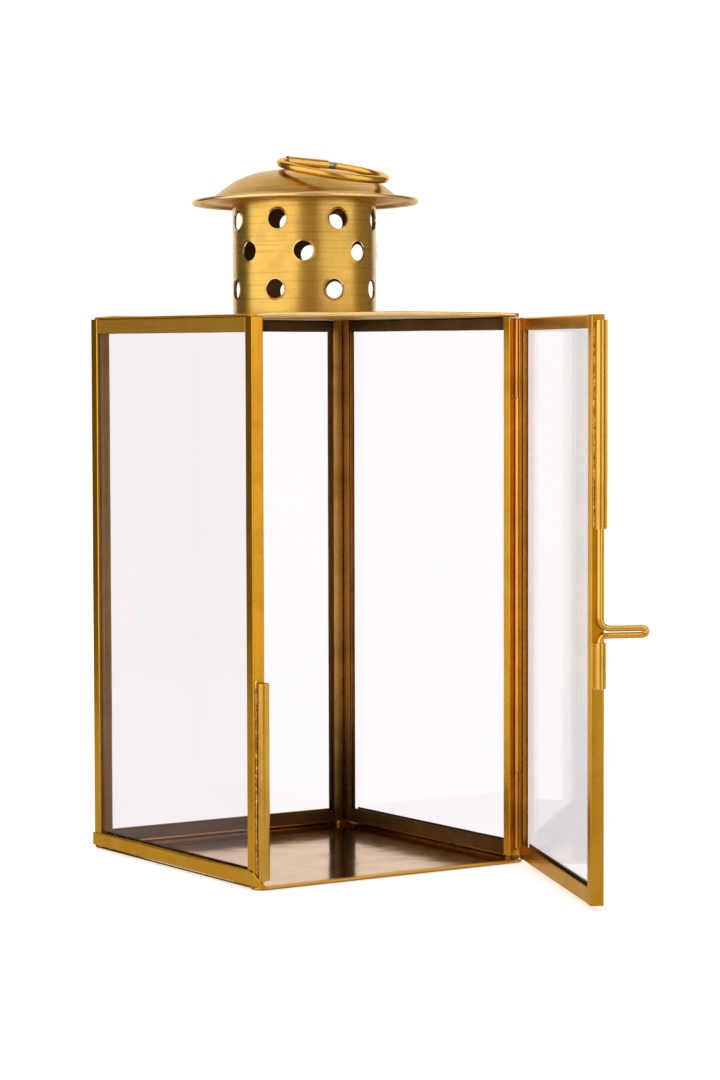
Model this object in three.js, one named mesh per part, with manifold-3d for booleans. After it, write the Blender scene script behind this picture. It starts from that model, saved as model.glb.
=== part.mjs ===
// Square brass and glass candle lantern with a hinged front door, a perforated chimney under a domed cap,
// and a carrying ring. Millimetres, +Z up. The origin is on the underside of the base, midway between the side
// panels and half a body width behind the front posts. The door is on the -Y side and hinges on the right front post (+X); it stands open here.
import * as THREE from "three";
import { mergeVertices } from "three/addons/utils/BufferGeometryUtils.js";
import Module from "manifold-3d";

const wasm = await Module();
wasm.setup();

// ---- driving dimensions -------------------------------------------------------------------------------
const BODY_WIDTH = 101.6; // across the side panels
const BODY_DEPTH = 103.2; // from the front posts to the back panel
const BODY_HEIGHT = 178.65; // underside of the base to the top of the roof hem
const HALF = BODY_WIDTH / 2;
const BACK = BODY_DEPTH - HALF; // outer face of the back panel

const STRIP = 0.4; // brass strip of the channels
const CHANNEL = 4.15; // thickness of a channel, face to face
const GLASS = 2.0; // pane thickness
const FLANGE = 4.0; // reach of a channel over the glass
const LEFT_TOP_FLANGE = 4.8;
const FRONT_RIGHT_FLANGE = 3.3;
const BACK_LEFT_FLANGE = 5.6;
const BOTTOM_FLANGE = 4.2;
const DOOR_BOTTOM_FLANGE = 5.2;
const GLASS_GAP = 0.3; // pane edge to channel floor
const BUTT = 0.05; // joint line between soldered pieces

const PANEL_BOTTOM = 2.0;
const PANEL_TOP = 177.3;

const TRAY_SHEET = 0.5;
const RIM_SHEET = 0.45;
const RIM_HEIGHT = 5.95;
const TRAY_HALF = 51.3;
const TRAY_BACK = BACK + 0.5;
const LIP_FRONT = 53.8; // how far the front lip reaches
const LIP_HEIGHT = 1.05;
const LIP_WIDTH = 2.8;

const ROOF_BOTTOM = 177.35;
const ROOF_SHEET = 0.6;
const ROOF_HALF = 51.0;
const ROOF_FRONT = 51.4;
const ROOF_BACK = BACK - 0.2;
const HEM_WIDTH = 4.2;
const VENT_RADIUS = 20.5;

const CHIMNEY_RADIUS = 23.6;
const CHIMNEY_CENTRE = [0.33, -0.2];
const CHIMNEY_WALL = 0.5;
const CHIMNEY_TOP = 219.3;
const HOLE_DIAMETER = 6.35; // quarter-inch punch
const CHIMNEY_SIDES = 64;
const HOLE_SIDES = 16;
// rows of holes: height and the polar angles of the holes, hand spaced
const HOLE_ROWS = [
  [209.1, [-189, -144.2, -94.6, -49.7, -9.1, 32.3, 70.7, 125.6]],
  [198.9, [-171.3, -123.1, -75, -29.8, 8.9, 52.9, 88, 138]],
  [186.7, [-192.7, -146.1, -98.2, -53.1, -11, 31.9, 70.4, 125]],
];

const CAP_SHEET = 0.5;
const CAP_SIDES = 48;
// outer profile of the cap from the crown to the brim: radius, height
const CAP_PROFILE = [
  [0, 225.95],
  [9, 225.75],
  [14, 225.2],
  [17.5, 224.4],
  [20.5, 223.35],
  [23.2, 222.05],
  [25.6, 220.5],
  [27.8, 218.9],
  [29.4, 217.6],
  [30.7, 216.65],
  [32.2, 216.22],
  [36.3, 216.0],
];
const BRIM_RADIUS = 37.1;
const BRIM_HEM = 1.4; // height of the rounded rim
// the cap was soldered on a little askew: its centre, the height it tips about, and two small tips
const CAP_CENTRE = [0.58, -0.38];
const CAP_PIVOT_Z = 216;
const CAP_TIPS = [
  [[0.836, -0.549, 0], -1.35],
  [[-0.549, -0.836, 0], 0.4],
];
const BRACKET_ANGLES = { front: -90, right: 30, left: 150 };
const BRACKET_WIDTH = 6.0;
const BRACKET_SHEET = 0.6;
const BRACKET_FACE = 22.35; // flat of the strip from the chimney's axis
const BRACKET_FOOT = 212.9;

const RING_WIRE = 1.25; // wire radius
const RING_RADIUS = 17.3; // centre line
const RING_STRAIGHT = 9.0; // half of the straight run inside the sleeve
const RING_AXIS_Z = 228.03; // at the middle of the sleeve
const RING_SLOPE = 2.95; // degrees that the sleeve and ring dip to the right
const RING_CENTRE = [2.24, -0.5];
const RING_REST = 11.5; // degrees below the sleeve's level where the ring leans on the cap
const SLEEVE_OUTER = 1.75;
const SLEEVE_BORE = 1.42;
const SLEEVE_LENGTH = 15.4;
const SLEEVE_OFFSET = 1.24;

const HINGE_X = 49.2; // hinge axis
const HINGE_Y = -51.9;
const KNUCKLE_RADIUS = 1.0;
const KNUCKLE_BORE = 0.66;
const PIN_RADIUS = 0.55;
const LEAF = 0.35;
const DOOR_OPEN = 67.0; // degrees from closed, as it stands
const DOOR_LENGTH = 95.2; // hinge axis to the free edge
const DOOR_HINGE_GAP = 1.65; // hinge axis to the hinge stile
const DOOR_INNER = -0.05; // inner face, from the hinge axis
const DOOR_OUTER = DOOR_INNER - CHANNEL;
const DOOR_BOTTOM = 1.5;
const DOOR_TOP = 177.2;
const KNUCKLE_Z = [4.6, 29.3, 151.2, 176.6]; // bottom, joints and top of the knuckles
const KNUCKLE_GAP = 0.3;

const HANDLE_WIRE = 0.95; // wire radius
const HANDLE_REACH = 14.3; // tip centre from the vertical legs
const HANDLE_Z_UPPER = 84.45;
const HANDLE_Z_LOWER = 82.35;
const EDGE_SLEEVE_OUTER = 1.45;
const EDGE_SLEEVE_BORE = 1.1;
const UPPER_SLEEVE_Z = [113.9, 175.5];
const LOWER_SLEEVE_Z = [66.4, 80.2];
const CATCH_X = -48.4; // catch tube on the left front post
const CATCH_OUTER = 1.85;
const CATCH_BORE = 1.45;
const CATCH_Z = [3.0, 64.3];

// ---- materials ----------------------------------------------------------------------------------------
const brass = () => new THREE.MeshStandardMaterial({ color: 0xb8862f, roughness: 0.34, metalness: 1.0 });
const darkBrass = () => new THREE.MeshStandardMaterial({ color: 0x8f6526, roughness: 0.42, metalness: 1.0 });
const solder = () => new THREE.MeshStandardMaterial({ color: 0x8d7a55, roughness: 0.5, metalness: 1.0 });
const glass = () =>
  new THREE.MeshStandardMaterial({ color: 0xf1edf2, roughness: 0.05, metalness: 0.0, transparent: true, opacity: 0.3 });

// ---- shape helpers ------------------------------------------------------------------------------------
const poly = (points) => new THREE.Shape(points.map(([x, y]) => new THREE.Vector2(x, y)));
const circle = (r, sides, cx = 0, cy = 0, from = 0) =>
  Array.from({ length: sides }, (_, i) => {
    const a = from + (2 * Math.PI * i) / sides;
    return [cx + r * Math.cos(a), cy + r * Math.sin(a)];
  });
const hole = (points) => {
  const p = new THREE.Path();
  p.setFromPoints(points.map(([x, y]) => new THREE.Vector2(x, y)));
  return p;
};
// a prism of a flat outline between two heights
function upright(points, z0, z1, holes = []) {
  const shape = poly(points);
  for (const h of holes) shape.holes.push(hole(h));
  const g = new THREE.ExtrudeGeometry(shape, { depth: z1 - z0, bevelEnabled: false, curveSegments: 1 });
  return g.translate(0, 0, z0);
}
// a prism of an outline given as (y, z), from x0 to x1
function alongX(points, x0, x1, holes = []) {
  const shape = poly(points);
  for (const h of holes) shape.holes.push(hole(h));
  const g = new THREE.ExtrudeGeometry(shape, { depth: x1 - x0, bevelEnabled: false, curveSegments: 1 });
  g.applyMatrix4(new THREE.Matrix4().makeBasis(new THREE.Vector3(0, 1, 0), new THREE.Vector3(0, 0, 1), new THREE.Vector3(1, 0, 0)));
  return g.translate(x0, 0, 0);
}
// a prism of an outline given as (x, z), from y0 to y1
function alongY(points, y0, y1) {
  const g = new THREE.ExtrudeGeometry(poly(points), { depth: y1 - y0, bevelEnabled: false, curveSegments: 1 });
  g.applyMatrix4(new THREE.Matrix4().makeBasis(new THREE.Vector3(1, 0, 0), new THREE.Vector3(0, 0, 1), new THREE.Vector3(0, -1, 0)));
  return g.translate(0, y1, 0);
}
// outline of a U channel: the floor lies at f0, the mouth at f1, the two flanges at g0 and g1
function channel(f0, f1, g0, g1, swap = false) {
  const s = Math.sign(f1 - f0) * STRIP;
  const p = [
    [f0, g0],
    [f1, g0],
    [f1, g0 + STRIP],
    [f0 + s, g0 + STRIP],
    [f0 + s, g1 - STRIP],
    [f1, g1 - STRIP],
    [f1, g1],
    [f0, g1],
  ];
  return swap ? p.map(([a, b]) => [b, a]) : p;
}
const rect = (x0, y0, x1, y1) => [
  [x0, y0],
  [x1, y0],
  [x1, y1],
  [x0, y1],
];
// a rectangle with rounded corners: radii in the order (x0,y0), (x1,y0), (x1,y1), (x0,y1)
function rounded(x0, y0, x1, y1, radii, steps = 6) {
  const out = [];
  const corners = [
    [x0, y0, 1, 1, Math.PI],
    [x1, y0, -1, 1, 1.5 * Math.PI],
    [x1, y1, -1, -1, 0],
    [x0, y1, 1, -1, 0.5 * Math.PI],
  ];
  corners.forEach(([cx, cy, sx, sy, a0], i) => {
    const r = radii[i];
    if (!r) {
      out.push([cx, cy]);
      return;
    }
    for (let k = 0; k <= steps; k++) {
      const a = a0 + (k / steps) * 0.5 * Math.PI;
      out.push([cx + sx * r + r * Math.cos(a), cy + sy * r + r * Math.sin(a)]);
    }
  });
  return out;
}
// a solid turned about Z from a profile of (radius, height)
function turned(profile, sides) {
  const g = new THREE.LatheGeometry(profile.map(([r, z]) => new THREE.Vector2(r, z)), sides);
  return g.rotateX(Math.PI / 2);
}
// a round wire along a smooth line of points
function wire(points, radius, sides, steps) {
  const path = new THREE.CatmullRomCurve3(points.map((p) => new THREE.Vector3(...p)), false, "centripetal");
  return new THREE.ExtrudeGeometry(poly(circle(radius, sides)), { steps, bevelEnabled: false, extrudePath: path, curveSegments: 1 });
}
function solid(geometry) {
  const g = geometry.index ? geometry.toNonIndexed() : geometry.clone();
  g.deleteAttribute("normal");
  g.deleteAttribute("uv");
  const m = mergeVertices(g, 1e-4);
  return new wasm.Manifold(
    new wasm.Mesh({ numProp: 3, vertProperties: m.attributes.position.array, triVerts: new Uint32Array(m.index.array) }),
  );
}
function geometryOf(manifold) {
  const m = manifold.getMesh();
  const g = new THREE.BufferGeometry();
  g.setAttribute("position", new THREE.BufferAttribute(new Float32Array(m.vertProperties), 3));
  g.setIndex(new THREE.BufferAttribute(new Uint32Array(m.triVerts), 1));
  return g;
}
const join = (...parts) => geometryOf(parts.map(solid).reduce((a, b) => a.add(b)));
const arc = (cx, cy, r, a0, a1, n) =>
  Array.from({ length: n + 1 }, (_, i) => {
    const a = ((a0 + ((a1 - a0) * i) / n) * Math.PI) / 180;
    return [cx + r * Math.cos(a), cy + r * Math.sin(a)];
  });

const lantern = new THREE.Group();
function piece(name, geometry, material, parent = lantern) {
  const mesh = new THREE.Mesh(geometry, material);
  mesh.name = name;
  parent.add(mesh);
  return mesh;
}

// ---- base tray: bottom sheet, three folded rims, hemmed front lip ----------------------------------------
piece(
  "base_tray",
  join(
    upright(rounded(-TRAY_HALF, -LIP_FRONT, TRAY_HALF, TRAY_BACK, [4, 4, 0, 0]), 0, TRAY_SHEET),
    upright(rounded(-TRAY_HALF, -LIP_FRONT, TRAY_HALF, -LIP_FRONT + LIP_WIDTH, [4, 4, 0, 0].map((r) => Math.min(r, 2.7))), 0, LIP_HEIGHT),
    upright(rect(-TRAY_HALF, -50.0, -TRAY_HALF + RIM_SHEET, TRAY_BACK), 0, RIM_HEIGHT),
    upright(rect(TRAY_HALF - RIM_SHEET, -50.0, TRAY_HALF, TRAY_BACK), 0, RIM_HEIGHT),
    upright(rect(-50.5, TRAY_BACK - RIM_SHEET, 50.5, TRAY_BACK), 0, RIM_HEIGHT),
  ),
  brass(),
);

// ---- side and back panels --------------------------------------------------------------------------------
const IN = HALF - CHANNEL; // inner face of a side panel
const BACK_IN = BACK - CHANNEL; // inner face of the back panel
const paneZ0 = PANEL_BOTTOM + STRIP + GLASS_GAP;
const paneZ1 = PANEL_TOP - STRIP - GLASS_GAP;
const paneIn = HALF - CHANNEL / 2 - GLASS / 2;
const paneOut = HALF - CHANNEL / 2 + GLASS / 2;
const backPaneIn = BACK - CHANNEL / 2 - GLASS / 2;
const backPaneOut = BACK - CHANNEL / 2 + GLASS / 2;
const railTop = (g0, g1, flange = FLANGE) => channel(PANEL_TOP, PANEL_TOP - flange, g0, g1, true); // as (across, z)
const railBottom = (g0, g1) => channel(PANEL_BOTTOM, PANEL_BOTTOM + BOTTOM_FLANGE, g0, g1, true);

// left side: front stile, two rails, pane; its rear edge closes on the back panel's left stile
piece("left_front_stile", upright(channel(-HALF, -HALF + FLANGE, -HALF, -IN, true), PANEL_BOTTOM, PANEL_TOP), brass());
piece("left_top_rail", alongY(railTop(-HALF, -IN, LEFT_TOP_FLANGE), -HALF + FLANGE + BUTT, BACK_IN - BUTT), brass());
piece("left_bottom_rail", alongY(railBottom(-HALF, -IN), -HALF + FLANGE + BUTT, BACK_IN - BUTT), brass());
piece("left_glass", upright(rect(-paneOut, -HALF + STRIP + GLASS_GAP, -paneIn, BACK_IN - GLASS_GAP), paneZ0, paneZ1), glass());

// back: two stiles, two rails, pane
piece("back_left_stile", upright(channel(-HALF, -HALF + BACK_LEFT_FLANGE, BACK_IN, BACK), PANEL_BOTTOM, PANEL_TOP), brass());
piece("back_right_stile", upright(channel(IN, IN - FLANGE, BACK_IN, BACK), PANEL_BOTTOM, PANEL_TOP), darkBrass());
piece("back_top_rail", alongX(railTop(BACK_IN, BACK), -HALF + BACK_LEFT_FLANGE + BUTT, IN - FLANGE - BUTT), darkBrass());
piece("back_bottom_rail", alongX(railBottom(BACK_IN, BACK), -HALF + BACK_LEFT_FLANGE + BUTT, IN - FLANGE - BUTT), darkBrass());
piece("back_glass", upright(rect(-HALF + STRIP + GLASS_GAP, backPaneIn, IN - STRIP - GLASS_GAP, backPaneOut), paneZ0, paneZ1), glass());

// right side: front stile carries the hinge, rear stile meets the back panel edge to edge
const rightRear = BACK_IN - BUTT;
piece("right_front_stile", upright(channel(-HALF, -HALF + FRONT_RIGHT_FLANGE, IN, HALF, true), PANEL_BOTTOM, PANEL_TOP), brass());
piece("right_rear_stile", upright(channel(rightRear, rightRear - FLANGE, IN, HALF, true), PANEL_BOTTOM, PANEL_TOP), darkBrass());
piece("right_top_rail", alongY(railTop(IN, HALF), -HALF + FRONT_RIGHT_FLANGE + BUTT, rightRear - FLANGE - BUTT), darkBrass());
piece("right_bottom_rail", alongY(railBottom(IN, HALF), -HALF + FRONT_RIGHT_FLANGE + BUTT, rightRear - FLANGE - BUTT), darkBrass());
piece(
  "right_glass",
  upright(rect(paneIn, -HALF + STRIP + GLASS_GAP, paneOut, rightRear - STRIP - GLASS_GAP), paneZ0, paneZ1),
  glass(),
);

// outside corner between the right side and the back, filled with solder
piece(
  "rear_corner_solder_seam",
  upright([[IN + BUTT, BACK_IN + BUTT], ...arc(IN + BUTT, BACK_IN + BUTT, CHANNEL - 0.15, 0, 90, 6)], PANEL_BOTTOM, PANEL_TOP),
  solder(),
);

// solder feet that stand the posts on the tray
const footZ0 = TRAY_SHEET + BUTT;
const footZ1 = PANEL_BOTTOM - BUTT;
const foot = (name, x0, y0, x1, y1) => piece(name, upright(rounded(x0, y0, x1, y1, [1, 1, 1, 1], 3), footZ0, footZ1), solder());
foot("solder_foot_front_left", -HALF + 0.1, -HALF + 0.05, -IN - 0.1, -HALF + FLANGE);
foot("solder_foot_front_right", IN + 0.1, -HALF + 0.05, HALF - 0.1, -HALF + FRONT_RIGHT_FLANGE);
foot("solder_foot_rear_left", -HALF + 0.1, BACK_IN + 0.1, -HALF + BACK_LEFT_FLANGE, BACK - 0.1);
foot("solder_foot_rear_right", IN - 3, BACK_IN + 0.15, HALF - 0.4, BACK - 0.4);

// ---- roof ------------------------------------------------------------------------------------------------
{
  const outline = rounded(-ROOF_HALF, -ROOF_FRONT, ROOF_HALF, ROOF_BACK, [1.5, 1.5, 3, 3]);
  const inner = rect(-ROOF_HALF + HEM_WIDTH, -ROOF_FRONT + HEM_WIDTH, ROOF_HALF - HEM_WIDTH, ROOF_BACK - HEM_WIDTH);
  piece(
    "roof_plate",
    join(
      upright(outline, ROOF_BOTTOM, ROOF_BOTTOM + ROOF_SHEET, [circle(VENT_RADIUS, 32)]),
      upright(outline, ROOF_BOTTOM, BODY_HEIGHT, [inner]),
    ),
    brass(),
  );
}

// ---- chimney ---------------------------------------------------------------------------------------------
{
  const z0 = ROOF_BOTTOM + ROOF_SHEET + BUTT;
  const ri = CHIMNEY_RADIUS - CHIMNEY_WALL;
  let tube = solid(
    turned(
      [
        [ri, z0],
        [CHIMNEY_RADIUS, z0],
        [CHIMNEY_RADIUS, CHIMNEY_TOP],
        [ri, CHIMNEY_TOP],
        [ri, z0],
      ],
      CHIMNEY_SIDES,
    ),
  );
  for (const [z, angles] of HOLE_ROWS)
    for (const deg of angles) {
      const punch = new THREE.CylinderGeometry(HOLE_DIAMETER / 2, HOLE_DIAMETER / 2, 8, HOLE_SIDES);
      punch.rotateZ(Math.PI / 2);
      punch.translate(CHIMNEY_RADIUS, 0, 0);
      punch.rotateZ((deg * Math.PI) / 180);
      punch.translate(0, 0, z);
      tube = tube.subtract(solid(punch));
    }
  piece("chimney_tube", geometryOf(tube), brass()).position.set(...CHIMNEY_CENTRE, 0);
}
{
  const under = CAP_PROFILE.slice(0, -1)
    .map(([r, z], i) => {
      const [r1, z1] = CAP_PROFILE[i + 1];
      const [r0, zz] = i ? CAP_PROFILE[i - 1] : [-r1, z1];
      const dx = r1 - r0,
        dz = z1 - zz,
        l = Math.hypot(dx, dz);
      return [Math.max(0, r + (dz / l) * CAP_SHEET), z - (dx / l) * CAP_SHEET];
    })
    .reverse();
  const brimZ = CAP_PROFILE.at(-1)[1];
  const r = BRIM_HEM / 2;
  const rim = arc(BRIM_RADIUS - r, brimZ - r, r, 75, -90, 5);
  const profile = [...CAP_PROFILE, ...rim, [BRIM_RADIUS - 2.2, brimZ - BRIM_HEM], [BRIM_RADIUS - 2.3, brimZ - 0.42], ...under];
  // the profile runs from the crown out and back under, so it is turned in reverse to face outwards
  // a tip about the pivot height, then the shift of the centre
  const askew = new THREE.Group();
  askew.position.set(...CAP_CENTRE, CAP_PIVOT_Z);
  for (const [axis, deg] of CAP_TIPS)
    askew.quaternion.premultiply(new THREE.Quaternion().setFromAxisAngle(new THREE.Vector3(...axis).normalize(), (deg * Math.PI) / 180));
  lantern.add(askew);
  piece("chimney_cap", turned(profile.reverse(), CAP_SIDES), brass(), askew).position.z = -CAP_PIVOT_Z;
  // three bent strips under the cap that stand inside the chimney's mouth and carry it
  const f = BRACKET_FACE,
    t = BRACKET_SHEET;
  const strip = [
    [f, BRACKET_FOOT],
    [f, 221.3],
    [f - 0.4, 221.65],
    [17.7, 223.55],
    [17.5, 223.55 - t * 0.95],
    [f - t, 220.95],
    [f - t, BRACKET_FOOT],
  ];
  for (const [side, deg] of Object.entries(BRACKET_ANGLES)) {
    const g = alongY(strip, -BRACKET_WIDTH / 2, BRACKET_WIDTH / 2).rotateZ((deg * Math.PI) / 180);
    piece(`cap_bracket_${side}`, g, darkBrass(), askew).position.z = -CAP_PIVOT_Z;
  }
}

// ---- ring sleeve and carrying ring ------------------------------------------------------------------------
const perch = new THREE.Group(); // on the sleeve's axis, at its middle
perch.position.set(SLEEVE_OFFSET, RING_CENTRE[1], RING_AXIS_Z);
perch.rotation.y = (RING_SLOPE * Math.PI) / 180;
lantern.add(perch);
piece(
  "ring_sleeve",
  alongX(circle(SLEEVE_OUTER, 20), -SLEEVE_LENGTH / 2, SLEEVE_LENGTH / 2, [circle(SLEEVE_BORE, 20)]),
  brass(),
  perch,
);
{
  const ring = new THREE.Group();
  ring.position.x = RING_CENTRE[0] - SLEEVE_OFFSET;
  ring.rotation.x = (RING_REST * Math.PI) / 180; // leans forward and down onto the cap
  perch.add(ring);
  const c = Math.sqrt(RING_RADIUS ** 2 - RING_STRAIGHT ** 2);
  const turn = (Math.atan2(c, RING_STRAIGHT) * 180) / Math.PI - 12; // where the round leaves the bend
  // one wire: from its butt joint right of the sleeve, round the front, back through the sleeve
  const path = [
    [RING_STRAIGHT + 0.5, 0],
    [RING_STRAIGHT + 0.85, -0.03],
    [RING_STRAIGHT + 1.7, -0.75],
    ...arc(0, -c, RING_RADIUS, turn, -180 - turn, 32),
    [-RING_STRAIGHT - 1.5, -0.75],
    [-RING_STRAIGHT + 0.9, 0],
    [0, 0],
    [RING_STRAIGHT - 1.2, 0],
    [RING_STRAIGHT - 0.1, -0.01],
  ];
  piece("carrying_ring", wire(path.map(([x, y]) => [x, y, 0]), RING_WIRE, 10, 60), brass(), ring);
}

// ---- hinge and catch parts on the body ---------------------------------------------------------------------
const knuckle = (z0, z1, leafOutline, cx = 0, cy = 0) => {
  const body = solid(upright(circle(KNUCKLE_RADIUS, 16, cx, cy), z0, z1)).add(solid(upright(leafOutline, z0, z1)));
  return geometryOf(body.subtract(solid(upright(circle(KNUCKLE_BORE, 12, cx, cy), z0 - 1, z1 + 1))));
};
piece(
  "post_knuckle_middle",
  knuckle(
    KNUCKLE_Z[1] + KNUCKLE_GAP / 2,
    KNUCKLE_Z[2] - KNUCKLE_GAP / 2,
    rect(HINGE_X - 0.2, -HALF - BUTT - LEAF, HALF - 0.15, -HALF - BUTT),
    HINGE_X,
    HINGE_Y,
  ),
  brass(),
);
piece(
  "hinge_pin",
  turned(
    [
      [0, KNUCKLE_Z[0] - 1.0],
      [0.6, KNUCKLE_Z[0] - 0.95],
      [0.9, KNUCKLE_Z[0] - 0.65],
      [0.9, KNUCKLE_Z[0] - 0.25],
      [PIN_RADIUS, KNUCKLE_Z[0] - 0.15],
      [PIN_RADIUS, KNUCKLE_Z[3] + 0.1],
      [0.85, KNUCKLE_Z[3] + 0.12],
      [0.85, KNUCKLE_Z[3] + 0.4],
      [0, KNUCKLE_Z[3] + 0.5],
    ],
    12,
  ).translate(HINGE_X, HINGE_Y, 0),
  brass(),
);
// rolled tube with a soldered foot on the left front post; the free edge of the door closes snugly beside it
{
  const cy = -HALF - BUTT - CATCH_OUTER;
  const tube = solid(upright(circle(CATCH_OUTER, 16, CATCH_X, cy), ...CATCH_Z)).add(
    solid(upright(rect(CATCH_X - 1.7, -HALF - BUTT - 0.75, CATCH_X + 1.1, -HALF - BUTT), ...CATCH_Z)),
  );
  const bore = solid(upright(circle(CATCH_BORE, 12, CATCH_X, cy), CATCH_Z[0] - 1, CATCH_Z[1] + 1));
  piece("post_catch_tube", geometryOf(tube.subtract(bore)), brass());
}

// ---- door, drawn closed about the hinge axis and turned open ------------------------------------------------
{
  const door = new THREE.Group();
  door.position.set(HINGE_X, HINGE_Y, 0);
  door.rotation.z = (DOOR_OPEN * Math.PI) / 180;
  lantern.add(door);
  const x0 = -DOOR_LENGTH,
    x1 = -DOOR_HINGE_GAP;
  const doorGap = 0.3;
  piece("door_hinge_stile", upright(channel(x1, x1 - FLANGE, DOOR_OUTER, DOOR_INNER), DOOR_BOTTOM, DOOR_TOP), brass(), door);
  piece("door_free_stile", upright(channel(x0, x0 + FLANGE, DOOR_OUTER, DOOR_INNER), DOOR_BOTTOM, DOOR_TOP), brass(), door);
  piece(
    "door_top_rail",
    alongX(channel(DOOR_TOP, DOOR_TOP - FLANGE, DOOR_OUTER, DOOR_INNER, true), x0 + FLANGE + doorGap / 2, x1 - FLANGE - doorGap / 2),
    brass(),
    door,
  );
  piece(
    "door_bottom_rail",
    alongX(
      channel(DOOR_BOTTOM, DOOR_BOTTOM + DOOR_BOTTOM_FLANGE, DOOR_OUTER, DOOR_INNER, true),
      x0 + FLANGE + doorGap / 2,
      x1 - FLANGE - doorGap / 2,
    ),
    brass(),
    door,
  );
  const mid = (DOOR_INNER + DOOR_OUTER) / 2;
  piece(
    "door_glass",
    upright(
      rect(x0 + STRIP + GLASS_GAP, mid - GLASS / 2, x1 - STRIP - GLASS_GAP, mid + GLASS / 2),
      DOOR_BOTTOM + STRIP + GLASS_GAP,
      DOOR_TOP - STRIP - GLASS_GAP,
    ),
    glass(),
    door,
  );
  // hinge knuckles with a leaf soldered on the end of the hinge stile
  const leaf = rect(-DOOR_HINGE_GAP + 0.3, DOOR_OUTER + 0.3, -DOOR_HINGE_GAP + 0.3 + LEAF + 0.1, 0.1);
  piece("door_knuckle_bottom", knuckle(KNUCKLE_Z[0], KNUCKLE_Z[1] - KNUCKLE_GAP / 2, leaf), brass(), door);
  piece("door_knuckle_top", knuckle(KNUCKLE_Z[2] + KNUCKLE_GAP / 2, KNUCKLE_Z[3], leaf), brass(), door);
  // rolled sleeves on the free edge, and the wire they hold
  const wx = x0 - 0.1 - EDGE_SLEEVE_OUTER; // wire centre
  const wy = mid - 0.25;
  const edge = (z0, z1, y0, y1) => {
    const body = solid(upright(circle(EDGE_SLEEVE_OUTER, 16, wx, wy), z0, z1)).add(
      solid(upright(rect(x0 - 0.6, y0, x0 - 0.12, y1), z0, z1)),
    );
    return geometryOf(body.subtract(solid(upright(circle(EDGE_SLEEVE_BORE, 16, wx, wy), z0 - 1, z1 + 1))));
  };
  piece("door_edge_sleeve_upper", edge(...UPPER_SLEEVE_Z, DOOR_OUTER - 0.65, wy + 0.3), brass(), door);
  piece("door_edge_sleeve_lower", edge(...LOWER_SLEEVE_Z, DOOR_OUTER - 0.4, DOOR_INNER - 0.3), brass(), door);
  // one wire: down the upper sleeve, out into a doubled loop, back and down the lower sleeve
  const zu = HANDLE_Z_UPPER,
    zl = HANDLE_Z_LOWER,
    zm = (zu + zl) / 2,
    rt = (zu - zl) / 2;
  const r1 = 3.0,
    r2 = 1.9;
  const line = [
    [0, UPPER_SLEEVE_Z[1] - 0.4],
    [0, 140],
    [0, zu + r1 + 6],
    ...arc(r1, zu + r1, r1, 180, 270, 6),
    [HANDLE_REACH * 0.6, zu],
    ...arc(HANDLE_REACH - rt, zm, rt, 90, -90, 6),
    [HANDLE_REACH * 0.6, zl],
    ...arc(r2, zl - r2, r2, 90, 180, 5),
    [0, zl - r2 - 6],
    [0, LOWER_SLEEVE_Z[0] + 0.3],
  ];
  piece("door_handle_wire", wire(line.map(([o, z]) => [wx, wy - o, z]), HANDLE_WIRE, 10, 84), brass(), door);
}

export default lantern;
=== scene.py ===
import math

import bmesh
import bpy
import numpy as np
from mathutils import Matrix, Vector, geometry, noise


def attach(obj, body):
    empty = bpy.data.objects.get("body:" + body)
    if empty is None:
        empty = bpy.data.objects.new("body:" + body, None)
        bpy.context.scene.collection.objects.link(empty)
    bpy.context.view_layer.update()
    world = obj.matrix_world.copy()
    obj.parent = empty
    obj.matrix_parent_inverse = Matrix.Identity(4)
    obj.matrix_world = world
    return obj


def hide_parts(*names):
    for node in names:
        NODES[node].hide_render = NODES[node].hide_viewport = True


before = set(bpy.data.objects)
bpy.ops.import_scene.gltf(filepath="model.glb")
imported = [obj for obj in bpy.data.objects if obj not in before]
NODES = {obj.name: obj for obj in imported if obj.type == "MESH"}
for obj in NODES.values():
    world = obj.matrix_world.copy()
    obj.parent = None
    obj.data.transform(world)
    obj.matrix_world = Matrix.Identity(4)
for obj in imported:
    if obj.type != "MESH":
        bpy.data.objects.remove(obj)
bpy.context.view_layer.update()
MM = 0.001

# ------------------------------------------------------------------------------------------------ dimensions
HALF, BACK = 50.8, 52.4
STRIP = 0.4
CHANNEL = 4.15
FLANGE = 4.0
IN, BACK_IN = HALF - CHANNEL, BACK - CHANNEL
GLASS = 2.0
PANEL_BOTTOM, PANEL_TOP = 2.0, 177.3
LEFT_TOP_FLANGE, FRONT_RIGHT_FLANGE = 4.8, 3.3
BOTTOM_FLANGE, DOOR_BOTTOM_FLANGE = 4.2, 5.2
BACK_LEFT_FLANGE = 5.6
HINGE = (49.2, -51.9)
DOOR_OPEN = 67.0
DOOR_LENGTH, DOOR_HINGE_GAP = 95.2, 1.65
DOOR_INNER = -0.05
DOOR_OUTER = DOOR_INNER - CHANNEL
DOOR_BOTTOM, DOOR_TOP = 1.5, 177.2
RING_AXIS_Z, RING_SLOPE = 228.03, 2.95
RING_REST = 11.5
RING_CENTRE = (2.24, -0.5)
SLEEVE_OFFSET = 1.24
CHIMNEY_R, CHIMNEY_WALL = 23.6, 0.5
CHIMNEY_CENTRE = (0.33, -0.2)
CHIMNEY_Z0, CHIMNEY_Z1 = 178.0, 219.3
CAP_CENTRE, CAP_PIVOT_Z = (0.58, -0.38), 216.0
HOLE_R = 3.175
HOLE_ROWS = (
    (209.1, (-189, -144.2, -94.6, -49.7, -9.1, 32.3, 70.7, 125.6)),
    (198.9, (-171.3, -123.1, -75, -29.8, 8.9, 52.9, 88, 138)),
    (186.7, (-192.7, -146.1, -98.2, -53.1, -11, 31.9, 70.4, 125)),
)

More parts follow.
